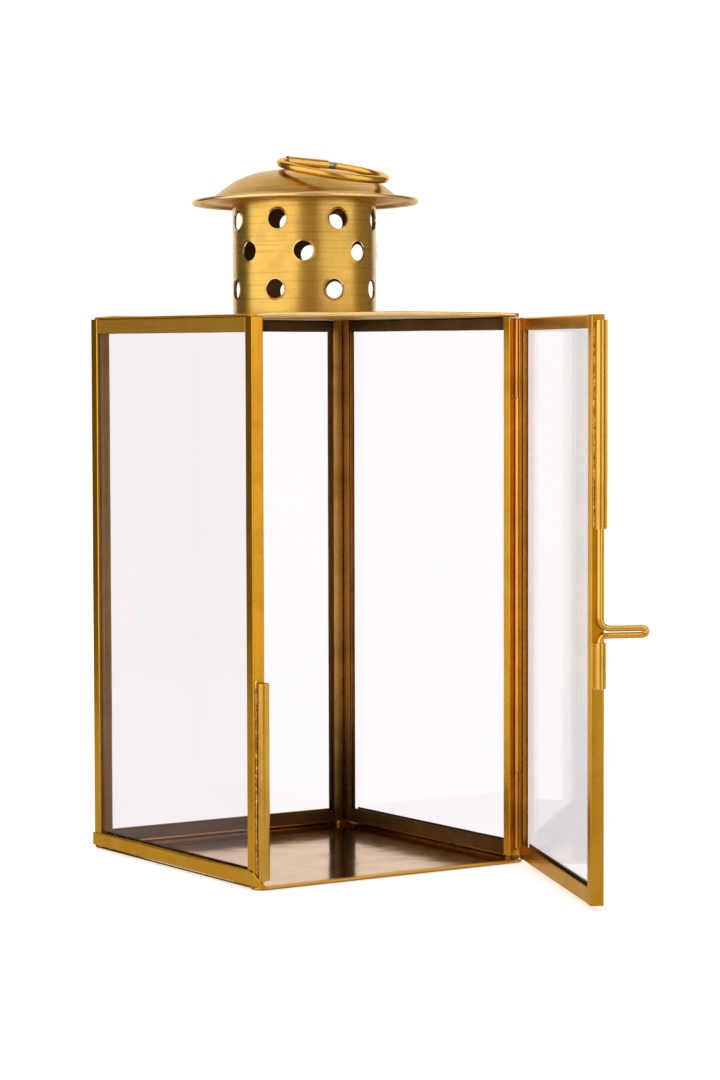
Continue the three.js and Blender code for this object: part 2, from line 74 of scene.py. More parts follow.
# light levels of the studio round the lantern
BASE_LIGHT, LEFT_BOX, RIGHT_BOX, TOP_BOX, BACKDROP = 0.13, 1.50, 1.20, 0.85, 1.05
MIDDLE_FILL, RIGHT_FILL = 0.26, 0.20
FLOOR_GLOW, FLOOR_SHADE, FLOOR_FAR = 0.42, 0.30, 0.42

# ------------------------------------------------------------------------------------------------ helpers


def n3(x, y, z, seed=0.0):
    """Smooth noise from about -1 to 1 at a point."""
    return noise.noise(Vector((x + seed * 17.31, y - seed * 9.77, z + seed * 5.13)))


def wave(t, seed, length=30.0):
    """Smooth wander along a length, from about -1 to 1."""
    return 0.7 * n3(t / length, seed * 3.7, 0.4, seed) + 0.3 * n3(t * 3.1 / length, seed * 1.3, 7.1, seed)


def round_poly(points, radii, steps=4):
    """A closed outline with its corners rounded."""
    out = []
    n = len(points)
    for i, (p, r) in enumerate(zip(points, radii)):
        a, b, c = (np.array(points[i - 1], float), np.array(p, float), np.array(points[(i + 1) % n], float))
        u, v = a - b, c - b
        lu, lv = np.linalg.norm(u), np.linalg.norm(v)
        u, v = u / lu, v / lv
        if r <= 0:
            out.append(tuple(b))
            continue
        half = math.acos(max(-1, min(1, float(u @ v)))) / 2
        cut = min(r / math.tan(half), 0.49 * lu, 0.49 * lv)
        rr = cut * math.tan(half)
        p0, p1 = b + u * cut, b + v * cut
        mid = (u + v) / np.linalg.norm(u + v)
        centre = b + mid * (rr / math.sin(half))
        a0 = math.atan2(*(p0 - centre)[::-1])
        a1 = math.atan2(*(p1 - centre)[::-1])
        d = (a1 - a0 + math.pi) % (2 * math.pi) - math.pi
        for k in range(steps + 1):
            t = a0 + d * k / steps
            out.append((centre[0] + rr * math.cos(t), centre[1] + rr * math.sin(t)))
    return out


def strip_outline(points, th, cap=2):
    """Outline of a folded strip of thickness th whose middle follows points."""
    p = np.array(points, float)
    d = np.gradient(p, axis=0)
    d /= np.linalg.norm(d, axis=1)[:, None]
    nrm = np.stack([-d[:, 1], d[:, 0]], 1)
    left, right = p + nrm * th / 2, p - nrm * th / 2

    def end(c, direction, side):
        a0 = math.atan2(side[1], side[0])
        return [
            (c[0] + th / 2 * math.cos(a0 - math.pi * k / (cap + 1)), c[1] + th / 2 * math.sin(a0 - math.pi * k / (cap + 1)))
            for k in range(1, cap + 1)
        ]

    return (
        [tuple(q) for q in left]
        + end(p[-1], d[-1], nrm[-1])
        + [tuple(q) for q in right[::-1]]
        + end(p[0], -d[0], -nrm[0])
    )


def arc(cx, cy, r, a0, a1, n):
    return [
        (cx + r * math.cos(math.radians(a0 + (a1 - a0) * i / n)), cy + r * math.sin(math.radians(a0 + (a1 - a0) * i / n)))
        for i in range(n + 1)
    ]


def area2(outline):
    x, y = np.array(outline).T
    return float(np.sum(x * np.roll(y, -1) - np.roll(x, -1) * y)) / 2


class Build:
    """Gathers vertices and faces for one object."""

    def __init__(self):
        self.v, self.f, self.m = [], [], []

    def loft(self, rings, closed=False, caps=True, mat=0):
        """Skins rings of equal point counts into a closed body."""
        base = len(self.v)
        n = len(rings[0])
        for r in rings:
            self.v.extend(tuple(map(float, p)) for p in r)
        count = len(rings)
        for i in range(count if closed else count - 1):
            j = (i + 1) % count
            for k in range(n):
                k1 = (k + 1) % n
                self.f.append((base + i * n + k, base + i * n + k1, base + j * n + k1, base + j * n + k))
                self.m.append(mat[k] if isinstance(mat, list) else mat)
        if caps and not closed:
            self.f.append(tuple(base + k for k in reversed(range(n))))
            self.f.append(tuple(base + (count - 1) * n + k for k in range(n)))
            self.m += [max(mat), max(mat)] if isinstance(mat, list) else [mat, mat]
        return self

    def add(self, verts, faces, mat=0):
        base = len(self.v)
        self.v.extend(tuple(map(float, p)) for p in verts)
        for f in faces:
            self.f.append(tuple(base + i for i in f))
            self.m.append(mat)
        return self


def put(name, build, mats, body, nodes=(), smooth=38.0, at=None, inner=None, weighted=True):
    """Makes the object, gives it its materials and lets it ride on its body."""
    mesh = bpy.data.meshes.new(name)
    verts = build.v
    if at is not None:
        verts = [tuple(at(*v)) for v in verts]
    mesh.from_pydata([(x * MM, y * MM, z * MM) for x, y, z in verts], [], build.f)
    for m in mats:
        mesh.materials.append(m)
    mesh.polygons.foreach_set("material_index", build.m)
    bm = bmesh.new()
    bm.from_mesh(mesh)
    bmesh.ops.recalc_face_normals(bm, faces=bm.faces)
    bm.to_mesh(mesh)
    bm.free()
    if inner is not None:
        for poly in mesh.polygons:
            if poly.material_index == 0 and inner(poly.normal, poly.center / MM):
                poly.material_index = 1
    if smooth > 0:
        mesh.polygons.foreach_set("use_smooth", [True] * len(mesh.polygons))
        mesh.set_sharp_from_angle(angle=math.radians(smooth))
    mesh.update()
    obj = bpy.data.objects.new(name, mesh)
    bpy.context.scene.collection.objects.link(obj)
    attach(obj, body)
    if nodes:
        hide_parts(*nodes)
    if weighted:
        mod = obj.modifiers.new("face_weighted_normals", "WEIGHTED_NORMAL")
        mod.mode = "FACE_AREA"
        mod.weight = 50
        mod.keep_sharp = True
    return obj


def inset(outline, d):
    """Moves an outline inwards by d, corner by corner."""
    p = np.array(outline, float)
    s = 1 if area2(outline) > 0 else -1
    e = np.roll(p, -1, 0) - np.roll(p, 1, 0)
    e /= np.maximum(np.linalg.norm(e, axis=1), 1e-9)[:, None]
    nrm = np.stack([-e[:, 1], e[:, 0]], 1) * s
    return [tuple(q) for q in p + nrm * d]


def prism(build, outline, t0, t1, place, seed=0.0, wander=0.04, pitch=2.5, chamfer=0.08, shape=None, mat=0):
    """Runs an outline from t0 to t1 with softened ends and a slight hand-made wander."""
    n = max(2, int(abs(t1 - t0) / pitch))
    ts = [t0, t0 + chamfer * (1 if t1 > t0 else -1)]
    ts += [t0 + (t1 - t0) * i / n for i in range(1, n)]
    ts += [t1 - chamfer * (1 if t1 > t0 else -1), t1]
    small = inset(outline, chamfer)
    rings = []
    for i, t in enumerate(ts):
        ol = small if i in (0, len(ts) - 1) else outline
        if shape:
            ol = shape(ol, t)
        da, db = wander * wave(t, seed + 0.1), wander * wave(t, seed + 5.3)
        rings.append([place(a + da, b + db, t) for a, b in ol])
    if callable(mat):
        n = len(outline)
        mat = [mat((outline[k][0] + outline[(k + 1) % n][0]) / 2, (outline[k][1] + outline[(k + 1) % n][1]) / 2) for k in range(n)]
    build.loft(rings, mat=mat)
    return build


def channel(f0, f1, g0, g1, bend=0.5, lip=0.09):
    """Outline of a folded U channel with its floor at f0 and its mouth at f1."""
    s = math.copysign(STRIP, f1 - f0)
    pts = [(f0, g0), (f1, g0), (f1, g0 + STRIP), (f0 + s, g0 + STRIP), (f0 + s, g1 - STRIP), (f1, g1 - STRIP), (f1, g1), (f0, g1)]
    return round_poly(pts, [bend, lip, lip, 0.12, 0.12, lip, lip, bend], 4)


def lip_wander(f1, seed, amount=0.09):
    """Lets the cut edges of a channel wander a little."""

    def shape(outline, t):
        d = amount * wave(t, seed + 2.2, 22.0)
        return [(a + (d if abs(a - f1) < 0.25 else 0.0), b) for a, b in outline]

    return shape


def swept(build, path, radius, sides=16, seed=0.0, lump=0.0, flat=None, taper=0.0, mat=0, cap=True):
    """A round wire or bead along a path; radius may be a function of 0..1 along it."""
    p = np.array(path, float)
    seg = np.linalg.norm(np.diff(p, axis=0), axis=1)
    s = np.concatenate([[0], np.cumsum(seg)])
    total = s[-1]
    d = np.gradient(p, axis=0)
    d /= np.linalg.norm(d, axis=1)[:, None]
    up = np.array((0.0, 0.0, 1.0)) if abs(d[0][2]) < 0.9 else np.array((1.0, 0.0, 0.0))
    side = np.cross(d[0], up)
    side /= np.linalg.norm(side)
    rings = []

    def ring(c, u, v, r, at):
        out = []
        for k in range(sides):
            a = 2 * math.pi * k / sides
            w = 1.0
            if lump:
                w += lump * n3(at * 1.1, math.cos(a) * 1.3, math.sin(a) * 1.3, seed)
            out.append(c + (u * math.cos(a) + v * math.sin(a)) * r * w)
        return out

    for i in range(len(p)):
        side = side - d[i] * (side @ d[i])
        side /= np.linalg.norm(side)
        v = np.cross(d[i], side)
        t = s[i] / total
        r = radius(t) if callable(radius) else radius
        if taper:
            e = min(s[i], total - s[i]) / taper
            if e < 1:
                r *= max(0.12, math.sqrt(max(0.0, 1 - (1 - e) ** 2)))
        if i == 0 and cap:
            for q in (0.3, 0.72):
                rings.append(ring(p[0] - d[0] * r * 0.5 * (1 - q), side, v, r * math.sqrt(q), s[i]))
        rings.append(ring(p[i], side, v, r, s[i]))
        if i == len(p) - 1 and cap:
            for q in (0.72, 0.3):
                rings.append(ring(p[-1] + d[-1] * r * 0.5 * (1 - q), side, v, r * math.sqrt(q), s[i]))
    build.loft(rings, mat=mat)
    return build


def resample(points, step):
    p = np.array(points, float)
    seg = np.linalg.norm(np.diff(p, axis=0), axis=1)
    s = np.concatenate([[0], np.cumsum(seg)])
    n = max(2, int(round(s[-1] / step)))
    t = np.linspace(0, s[-1], n + 1)
    return np.stack([np.interp(t, s, p[:, k]) for k in range(p.shape[1])], 1)


def smooth_path(points, step, rounds=2):
    p = resample(points, step)
    for _ in range(rounds):
        q = p.copy()
        q[1:-1] = (p[:-2] + 2 * p[1:-1] + p[2:]) / 4
        p = q
    return p


def blob(build, centre, radii, seed, lump=0.25, mat=0, detail=3):
    """An irregular lump, such as a drop of solder."""
    bm = bmesh.new()
    bmesh.ops.create_icosphere(bm, subdivisions=detail, radius=1.0)
    verts = []
    for v in bm.verts:
        c = v.co
        w = 1 + lump * n3(c.x * 1.6, c.y * 1.6, c.z * 1.6, seed) + 0.4 * lump * n3(c.x * 4, c.y * 4, c.z * 4, seed + 3)
        verts.append((centre[0] + c.x * radii[0] * w, centre[1] + c.y * radii[1] * w, centre[2] + c.z * radii[2] * w))
    faces = [tuple(v.index for v in f.verts) for f in bm.faces]
    bm.free()
    build.add(verts, faces, mat)
    return build


# ------------------------------------------------------------------------------------------------ materials


class Nodes:
    """A short way to write a node tree."""

    def __init__(self, name):
        self.mat = bpy.data.materials.new(name)
        self.mat.use_nodes = True
        self.t = self.mat.node_tree
        self.t.nodes.clear()
        self.out = self.t.nodes.new("ShaderNodeOutputMaterial")
        self.bsdf = self.t.nodes.new("ShaderNodeBsdfPrincipled")
        self.t.links.new(self.bsdf.outputs[0], self.out.inputs[0])

    def new(self, kind, **props):
        n = self.t.nodes.new(kind)
        for k, v in props.items():
            setattr(n, k, v)
        return n

    def link(self, a, b):
        self.t.links.new(a, b)

    def val(self, sock, v):
        if hasattr(v, "is_output") or isinstance(v, bpy.types.NodeSocket):
            self.link(v, sock)
        else:
            sock.default_value = v

    def math(self, op, a, b=None, c=None, clamp=False):
        n = self.new("ShaderNodeMath", operation=op, use_clamp=clamp)
        self.val(n.inputs[0], a)
        if b is not None:
            self.val(n.inputs[1], b)
        if c is not None:
            self.val(n.inputs[2], c)
        return n.outputs[0]

    def vmath(self, op, a, b=None):
        n = self.new("ShaderNodeVectorMath", operation=op)
        self.val(n.inputs[0], a)
        if b is not None:
            self.val(n.inputs[1], b)
        return n.outputs["Value"] if op in ("DOT_PRODUCT", "LENGTH") else n.outputs["Vector"]

    def ramp(self, fac, lo, hi, a=0.0, b=1.0, smooth=True):
        n = self.new("ShaderNodeMapRange", interpolation_type="SMOOTHSTEP" if smooth else "LINEAR")
        self.val(n.inputs["Value"], fac)
        n.inputs["From Min"].default_value = lo
        n.inputs["From Max"].default_value = hi
        n.inputs["To Min"].default_value = a
        n.inputs["To Max"].default_value = b
        return n.outputs["Result"]

    def noise(self, vec, scale=1.0, detail=3.0, rough=0.55, distortion=0.0):
        n = self.new("ShaderNodeTexNoise")
        self.link(vec, n.inputs["Vector"])
        n.inputs["Scale"].default_value = scale
        n.inputs["Detail"].default_value = detail
        n.inputs["Roughness"].default_value = rough
        n.inputs["Distortion"].default_value = distortion
        return n.outputs[0]

    def mix(self, fac, a, b):
        n = self.new("ShaderNodeMix", data_type="RGBA")
        self.val(n.inputs[0], fac)
        for sock, v in ((n.inputs[6], a), (n.inputs[7], b)):
            if isinstance(v, tuple):
                sock.default_value = (*v[:3], 1.0)
            else:
                self.link(v, sock)
        return n.outputs[2]

    def obj(self):
        return self.new("ShaderNodeTexCoord").outputs["Object"]


def brass(
    name,
    grain="z",
    base=(0.66, 0.33, 0.024),
    dark=(0.38, 0.165, 0.009),
    pale=(0.73, 0.42, 0.075),
    rough=0.23,
    grain_bump=0.10,
    grain_rough=0.10,
    tarnish=0.45,
    turn=0.0,
    aniso=0.0,
    spots=0.35,
    waviness=0.25,
    coat=0.0,
    lines=0.22,
    sheen=(1.0, 0.86, 0.60),
    darken_low=None,
):
    """Brushed brass. grain is the direction of the brushing: x, y, z, round (about Z on a wall) or rings (about Z on a disc)."""
    m = Nodes(name)
    p = m.obj()
    if turn:
        r = m.new("ShaderNodeVectorRotate", rotation_type="Z_AXIS")
        m.link(p, r.inputs["Vector"])
        r.inputs["Angle"].default_value = -math.radians(turn)
        p = r.outputs[0]
    lo, hi = 70.0, 5200.0
    if grain == "rings":
        sep = m.new("ShaderNodeSeparateXYZ")
        m.link(p, sep.inputs[0])
        rad = m.math("SQRT", m.math("ADD", m.math("MULTIPLY", sep.outputs[0], sep.outputs[0]), m.math("MULTIPLY", sep.outputs[1], sep.outputs[1])))
        comb = m.new("ShaderNodeCombineXYZ")
        m.link(m.math("MULTIPLY", sep.outputs[0], 45.0), comb.inputs[0])
        m.link(m.math("MULTIPLY", sep.outputs[1], 45.0), comb.inputs[1])
        m.link(m.math("MULTIPLY", rad, 3600.0), comb.inputs[2])
        g = comb.outputs[0]
    else:
        s = {"x": (lo, hi, hi), "y": (hi, lo, hi), "z": (hi, hi, lo), "round": (lo, lo, hi)}[grain]
        g = m.vmath("MULTIPLY", p, s)
    fine = m.noise(g, 1.0, 4.0, 0.62)
    g2 = m.vmath("MULTIPLY", g, (0.31, 0.31, 0.31))
    broad = m.noise(g2, 1.0, 3.0, 0.5)
    blotch = m.noise(p, 85.0, 5.0, 0.58, 0.4)
    cloud = m.noise(p, 26.0, 3.0, 0.5, 0.2)
    speck = m.noise(p, 900.0, 3.0, 0.6)
    # colour: a base, tarnish in clouds, pale rubbed places, thin darker grain lines and a few spots
    tone = m.ramp(m.math("ADD", m.math("MULTIPLY", blotch, 0.6), m.math("MULTIPLY", cloud, 0.4)), 0.42, 0.72)
    col = m.mix(m.math("MULTIPLY", tone, tarnish), base, dark)
    rub = m.ramp(m.noise(p, 48.0, 4.0, 0.6, 0.6), 0.52, 0.75, 0.0, 0.45)
    col = m.mix(rub, col, pale)
    line = m.ramp(broad, 0.30, 0.48, lines, 0.0)
    col = m.mix(line, col, dark)
    spot = m.ramp(speck, 0.70, 0.78, 0.0, spots)
    col = m.mix(spot, col, (0.20, 0.09, 0.02))
    # darker towards the bottom, between the two heights given
    if darken_low:
        height = m.new("ShaderNodeSeparateXYZ")
        m.link(m.obj(), height.inputs[0])
        col = m.mix(m.ramp(height.outputs[2], darken_low[0], darken_low[1], 0.85, 0.0), col, (0.07, 0.040, 0.012))
    rgh = m.math("ADD", rough - grain_rough * 0.5, m.math("MULTIPLY", fine, grain_rough))
    rgh = m.math("ADD", rgh, m.math("MULTIPLY", tone, 0.07))
    b = m.bsdf
    m.link(col, b.inputs["Base Color"])
    m.link(rgh, b.inputs["Roughness"])
    b.inputs["Metallic"].default_value = 1.0
    b.inputs["Specular Tint"].default_value = (*sheen, 1.0)
    b.inputs["Coat Weight"].default_value = coat
    b.inputs["Coat Roughness"].default_value = 0.15
    if aniso:
        b.inputs["Anisotropic"].default_value = aniso
        tan = m.new("ShaderNodeTangent", direction_type="RADIAL", axis="Z")
        m.link(tan.outputs[0], b.inputs["Tangent"])
    # bump: the grain, then slow waves from hammering and heat
    bump = m.new("ShaderNodeBump")
    bump.inputs["Strength"].default_value = grain_bump
    bump.inputs["Distance"].default_value = 0.00004
    m.link(m.math("ADD", m.math("MULTIPLY", fine, 0.7), m.math("MULTIPLY", broad, 0.6)), bump.inputs["Height"])
    slow = m.new("ShaderNodeBump")
    slow.inputs["Strength"].default_value = waviness
    slow.inputs["Distance"].default_value = 0.0004
    m.link(m.noise(p, 130.0, 2.0, 0.5), slow.inputs["Height"])
    m.link(bump.outputs[0], slow.inputs["Normal"])
    m.link(slow.outputs[0], b.inputs["Normal"])
    return m.mat


def solder(name, base=(0.42, 0.24, 0.07), dark=(0.12, 0.06, 0.02), bright=(0.80, 0.58, 0.26), rough=0.30):
    m = Nodes(name)
    p = m.obj()
    a = m.noise(p, 420.0, 4.0, 0.6, 0.5)
    c = m.noise(p, 1600.0, 3.0, 0.6)
    col = m.mix(m.ramp(a, 0.38, 0.60), base, dark)
    col = m.mix(m.ramp(c, 0.52, 0.72, 0.0, 0.7), col, bright)
    m.link(col, m.bsdf.inputs["Base Color"])
    m.bsdf.inputs["Metallic"].default_value = 1.0
    m.link(m.ramp(a, 0.3, 0.7, rough - 0.1, rough + 0.22), m.bsdf.inputs["Roughness"])
    bump = m.new("ShaderNodeBump")
    bump.inputs["Strength"].default_value = 0.6
    bump.inputs["Distance"].default_value = 0.0003
    m.link(m.math("ADD", a, m.math("MULTIPLY", c, 0.35)), bump.inputs["Height"])
    m.link(bump.outputs[0], m.bsdf.inputs["Normal"])
    return m.mat


def glass(name):
    m = Nodes(name)
    b = m.bsdf
    p = m.obj()
    b.inputs["Transmission Weight"].default_value = 1.0
    b.inputs["IOR"].default_value = 1.20
    smear = m.noise(p, 60.0, 3.0, 0.5, 0.8)
    m.link(m.ramp(smear, 0.55, 0.8, 0.0, 0.035), b.inputs["Roughness"])
    m.link(m.mix(m.ramp(m.noise(p, 14.0, 2.0, 0.5), 0.3, 0.7), (0.955, 0.922, 0.935), (0.942, 0.915, 0.93)), b.inputs["Base Color"])
    bump = m.new("ShaderNodeBump")
    bump.inputs["Strength"].default_value = 0.02
    bump.inputs["Distance"].default_value = 0.001
    m.link(m.noise(p, 30.0, 1.0, 0.5), bump.inputs["Height"])
    m.link(bump.outputs[0], b.inputs["Normal"])
    clear = m.new("ShaderNodeBsdfTransparent")
    clear.inputs[0].default_value = (0.95, 0.94, 0.945, 1.0)
    lp = m.new("ShaderNodeLightPath")
    mix = m.new("ShaderNodeMixShader")
    m.link(m.math("MAXIMUM", lp.outputs["Is Shadow Ray"], lp.outputs["Is Diffuse Ray"]), mix.inputs[0])
    m.link(b.outputs[0], mix.inputs[1])
    m.link(clear.outputs[0], mix.inputs[2])
    m.link(mix.outputs[0], m.out.inputs[0])
    return m.mat


M_Z = brass("brass_grain_upright", "z")
M_X = brass("brass_grain_across", "x")
M_Y = brass("brass_grain_deep", "y")
# paler, rougher brass for the left top rail alone: painted light, brighter than the lights it faces make it
M_LEFT_LIT = brass("brass_rail_left_lit", "y", base=(0.80, 0.45, 0.065), rough=0.36, spots=0.6, grain_bump=0.2)
# the inside faces of the panels take these darker copies of the brass: painted shade inside the lantern
INSIDE_SHADE = dict(base=(0.115, 0.062, 0.022), dark=(0.035, 0.018, 0.007), pale=(0.24, 0.15, 0.065), rough=0.38, spots=0.5, coat=0.0)
SHADE_Z = brass("brass_inside_upright", "z", **{**INSIDE_SHADE, "base": (0.22, 0.125, 0.045), "dark": (0.08, 0.04, 0.014), "pale": (0.36, 0.24, 0.11)})
# the inside faces of the rear right corner take a lighter tan copy of the painted inside shade, darker towards the
# bottom
INSIDE_TAN = brass("brass_inside_tan", "z", base=(0.60, 0.36, 0.10), dark=(0.26, 0.12, 0.02), pale=(0.66, 0.46, 0.22), rough=0.40, spots=0.6, tarnish=0.6, darken_low=(0.010, 0.060))
SHADE_X = brass("brass_inside_across", "x", **INSIDE_SHADE)
SHADE_Y = brass("brass_inside_deep", "y", **INSIDE_SHADE)
# near black for the cut edges: partly their darker cut face, partly painted shade of the gaps beside them
M_EDGE_SHADE = brass("brass_cut_edge_shade", "z", base=(0.045, 0.022, 0.007), dark=(0.015, 0.008, 0.003), pale=(0.20, 0.10, 0.02), rough=0.5, spots=0.3, coat=0.0)
# dark brass for the tray's lowest faces: painted shade and a painted dark reflection of the floor's contact shadow
M_FOLD_SHADE = brass("brass_fold_underside_shade", "x", base=(0.13, 0.065, 0.012), dark=(0.05, 0.024, 0.006), pale=(0.28, 0.15, 0.03), rough=0.45, spots=0.4)
M_DOOR_Z = brass("brass_door_upright", "z")
M_DOOR_X = brass("brass_door_across", "x", turn=DOOR_OPEN)
M_SHEET = brass("brass_sheet_outside", "x", tarnish=0.35)
M_FLOOR = brass("brass_sheet_floor", "x", base=(0.60, 0.345, 0.105), dark=(0.34, 0.17, 0.045), pale=(0.64, 0.42, 0.20), rough=0.11, grain_bump=0.06, grain_rough=0.06, spots=0.9, waviness=0.2, coat=0.1, sheen=(1.0, 0.93, 0.86))
# darker brass for the undersides of the roof and tray sheets: painted shade
M_UNDER_SHADE = brass("brass_sheet_under_shade", "x", base=(0.34, 0.20, 0.07), dark=(0.16, 0.08, 0.03), pale=(0.45, 0.3, 0.14), rough=0.42)
M_TUBE = brass("brass_grain_round", "round", base=(0.65, 0.40, 0.070), dark=(0.38, 0.19, 0.03), pale=(0.72, 0.50, 0.20), rough=0.21, aniso=0.6, grain_bump=0.42, tarnish=0.55, waviness=0.12, coat=0.45, lines=0.55, spots=0.6, sheen=(1.0, 0.93, 0.82))
M_CAP = brass("brass_grain_rings", "rings", base=(0.55, 0.325, 0.060), dark=(0.33, 0.165, 0.026), pale=(0.64, 0.44, 0.17), rough=0.28, aniso=0.6, grain_bump=0.38, tarnish=0.5, waviness=0.12, coat=0.2, lines=0.55, spots=0.5, sheen=(1.0, 0.93, 0.82))
M_HOLE = brass("brass_punched_edge", "z", base=(0.86, 0.66, 0.36), dark=(0.60, 0.40, 0.16), pale=(0.90, 0.74, 0.48), rough=0.22, tarnish=0.25, spots=0.2, waviness=0.2)
M_WIRE = brass("brass_drawn_wire", "z", base=(0.74, 0.43, 0.075), dark=(0.46, 0.23, 0.03), rough=0.16, grain_bump=0.04, tarnish=0.3, spots=0.1, waviness=0.1, coat=0.2)
M_ROLL = brass("brass_rolled_strip", "z", base=(0.70, 0.40, 0.07), rough=0.20, grain_bump=0.12)
# pale brass for the rolled rims of the roof front and the cap: a painted highlight along them
M_RIM_HIGHLIGHT = brass("brass_rolled_edge_highlight", "z", base=(0.80, 0.56, 0.23), dark=(0.52, 0.31, 0.09), pale=(0.88, 0.70, 0.40), rough=0.24, grain_bump=0.06, tarnish=0.4, spots=0.3, waviness=0.15)
M_SOLDER = solder("solder_under_plating")
M_SOLDER_BRIGHT = solder("solder_bright", base=(0.70, 0.45, 0.13), dark=(0.36, 0.19, 0.05), bright=(0.92, 0.72, 0.38), rough=0.2)
M_SEAM = solder("solder_seam_plated", base=(0.64, 0.35, 0.05), dark=(0.50, 0.26, 0.036), bright=(0.74, 0.46, 0.11), rough=0.26)
M_GREY = solder("bare_wire_joint", base=(0.40, 0.38, 0.34), dark=(0.20, 0.18, 0.15), bright=(0.62, 0.60, 0.56), rough=0.3)
M_GLASS = glass("clear_pane")

BODY = "lantern_body"


def at_door(x, y, z):
    """From door coordinates (closed, about the hinge axis) to the open door."""
    c, s = math.cos(math.radians(DOOR_OPEN)), math.sin(math.radians(DOOR_OPEN))
    return HINGE[0] + x * c - y * s, HINGE[1] + x * s + y * c, z


up = lambda a, b, t: (a, b, t)  # outline in (x, y), run along z
swap_up = lambda a, b, t: (b, a, t)
along_x = lambda a, b, t: (t, b, a)  # outline as (z, y)
along_y = lambda a, b, t: (b, t, a)  # outline as (z, x)

# ------------------------------------------------------------------------------------------------ fixed panels


def inward(axis, sign):
    """True for every face of a panel but those that look out of the lantern."""

    def test(n, c):
        return n[axis] * sign < 0.45

    return test


# the faces these tests pick take the dark inside copy of their brass: painted shade inside the lantern
INWARD = {
    "back_left_stile": lambda n, c: n.y < 0.45 and n.x > -0.45,
    "back_right_stile": inward(1, 1),
    "back_top_rail": inward(1, 1),
    "back_bottom_rail": inward(1, 1),
    "right_rear_stile": inward(0, 1),
    "right_top_rail": inward(0, 1),
    "right_bottom_rail": inward(0, 1),
    "left_top_rail": inward(0, -1),
    "left_bottom_rail": inward(0, -1),
    "left_front_stile": lambda n, c: n.x > 0.45 and c.x > -IN - 0.3 or n.y > 0.45,
    "right_front_stile": lambda n, c: n.y > 0.45,
}


def cut_edge(f0, f1):
    """Marks the cut edges of a channel for the near-black third material: partly their darker cut face, partly painted
    shade of the gaps beside them.
    """
    return lambda a, b_: 2 if abs(a - f1) < 0.12 else 0


INSIDE_SHADE_OF = {"brass_grain_upright": SHADE_Z, "brass_grain_across": SHADE_X, "brass_grain_deep": SHADE_Y, "brass_rail_left_lit": SHADE_Y}
TAN = {"right_rear_stile": INSIDE_TAN, "back_right_stile": INSIDE_TAN}


def clipped(f0, f1, g0, g1, seed, low=0.0, high=0.0):
    """Trims the flange at g0 by low and the flange at g1 by high, on top of the uneven cut."""
    wavy = lip_wander(f1, seed)
    way, mid = (1 if f0 > f1 else -1), (g0 + g1) / 2

    def shape(outline, t):
        return [(a + way * (low if abs(v - g0) < abs(v - g1) else high), v) if abs(a - f1) < 0.8 and abs(v - mid) > 1.2 else (a, v) for a, v in wavy(outline, t)]

    return shape


def stile(name, f0, f1, g0, g1, place, seed, mat=M_Z, z0=PANEL_BOTTOM, z1=PANEL_TOP, body=BODY, at=None, trim=(0.0, 0.0)):
    b = Build()
    prism(b, channel(f0, f1, g0, g1), z0, z1, place, seed, shape=clipped(f0, f1, g0, g1, seed, *trim), mat=cut_edge(f0, f1))
    if body == "door":
        return put(name, b, [mat, mat, M_EDGE_SHADE], body, [name], at=at)
    return put(name, b, [mat, TAN.get(name, INSIDE_SHADE_OF[mat.name]), M_EDGE_SHADE], body, [name], at=at, inner=INWARD[name])


def rail(name, f0, f1, g0, g1, t0, t1, place, seed, mat, body=BODY, at=None):
    b = Build()
    prism(b, channel(f0, f1, g0, g1), t0, t1, place, seed, wander=0.03, shape=lip_wander(f1, seed), mat=cut_edge(f0, f1))
    if body == "door":
        return put(name, b, [mat, mat, M_EDGE_SHADE], body, [name], at=at)
    return put(name, b, [mat, INSIDE_SHADE_OF[mat.name], M_EDGE_SHADE], body, [name], at=at, inner=INWARD[name])


BUTT = 0.05
RR = BACK_IN - BUTT
stile("left_front_stile", -HALF, -HALF + FLANGE, -HALF, -IN, swap_up, 1)
stile("back_left_stile", -HALF, -HALF + BACK_LEFT_FLANGE, BACK_IN, BACK, up, 2)
stile("back_right_stile", IN, IN - FLANGE, BACK_IN, BACK, up, 3)
stile("right_front_stile", -HALF, -HALF + FRONT_RIGHT_FLANGE, IN, HALF, swap_up, 4)
stile("right_rear_stile", RR, RR - FLANGE, IN, HALF, swap_up, 5, trim=(0.0, 2.0))
TOPF, TOPM = PANEL_TOP, PANEL_TOP - FLANGE
BOTF, BOTM = PANEL_BOTTOM, PANEL_BOTTOM + BOTTOM_FLANGE
rail("left_top_rail", TOPF, PANEL_TOP - LEFT_TOP_FLANGE, -HALF, -IN, -HALF + FLANGE + BUTT, BACK_IN - BUTT, along_y, 6, M_LEFT_LIT)
rail("left_bottom_rail", BOTF, BOTM - 0.5, -HALF, -IN, -HALF + FLANGE + BUTT, BACK_IN - BUTT, along_y, 7, M_Y)
rail("back_top_rail", TOPF, TOPM, BACK_IN, BACK, -HALF + BACK_LEFT_FLANGE + BUTT, IN - FLANGE - BUTT, along_x, 8, M_X)
rail("back_bottom_rail", BOTF, BOTM - 0.4, BACK_IN, BACK, -HALF + BACK_LEFT_FLANGE + BUTT, IN - FLANGE - BUTT, along_x, 9, M_X)
rail("right_top_rail", TOPF, TOPM, IN, HALF, -HALF + FRONT_RIGHT_FLANGE + BUTT, RR - FLANGE - BUTT, along_y, 10, M_Y)
rail("right_bottom_rail", BOTF, BOTM + 0.55, IN, HALF, -HALF + FRONT_RIGHT_FLANGE + BUTT, RR - FLANGE - BUTT, along_y, 11, M_Y)


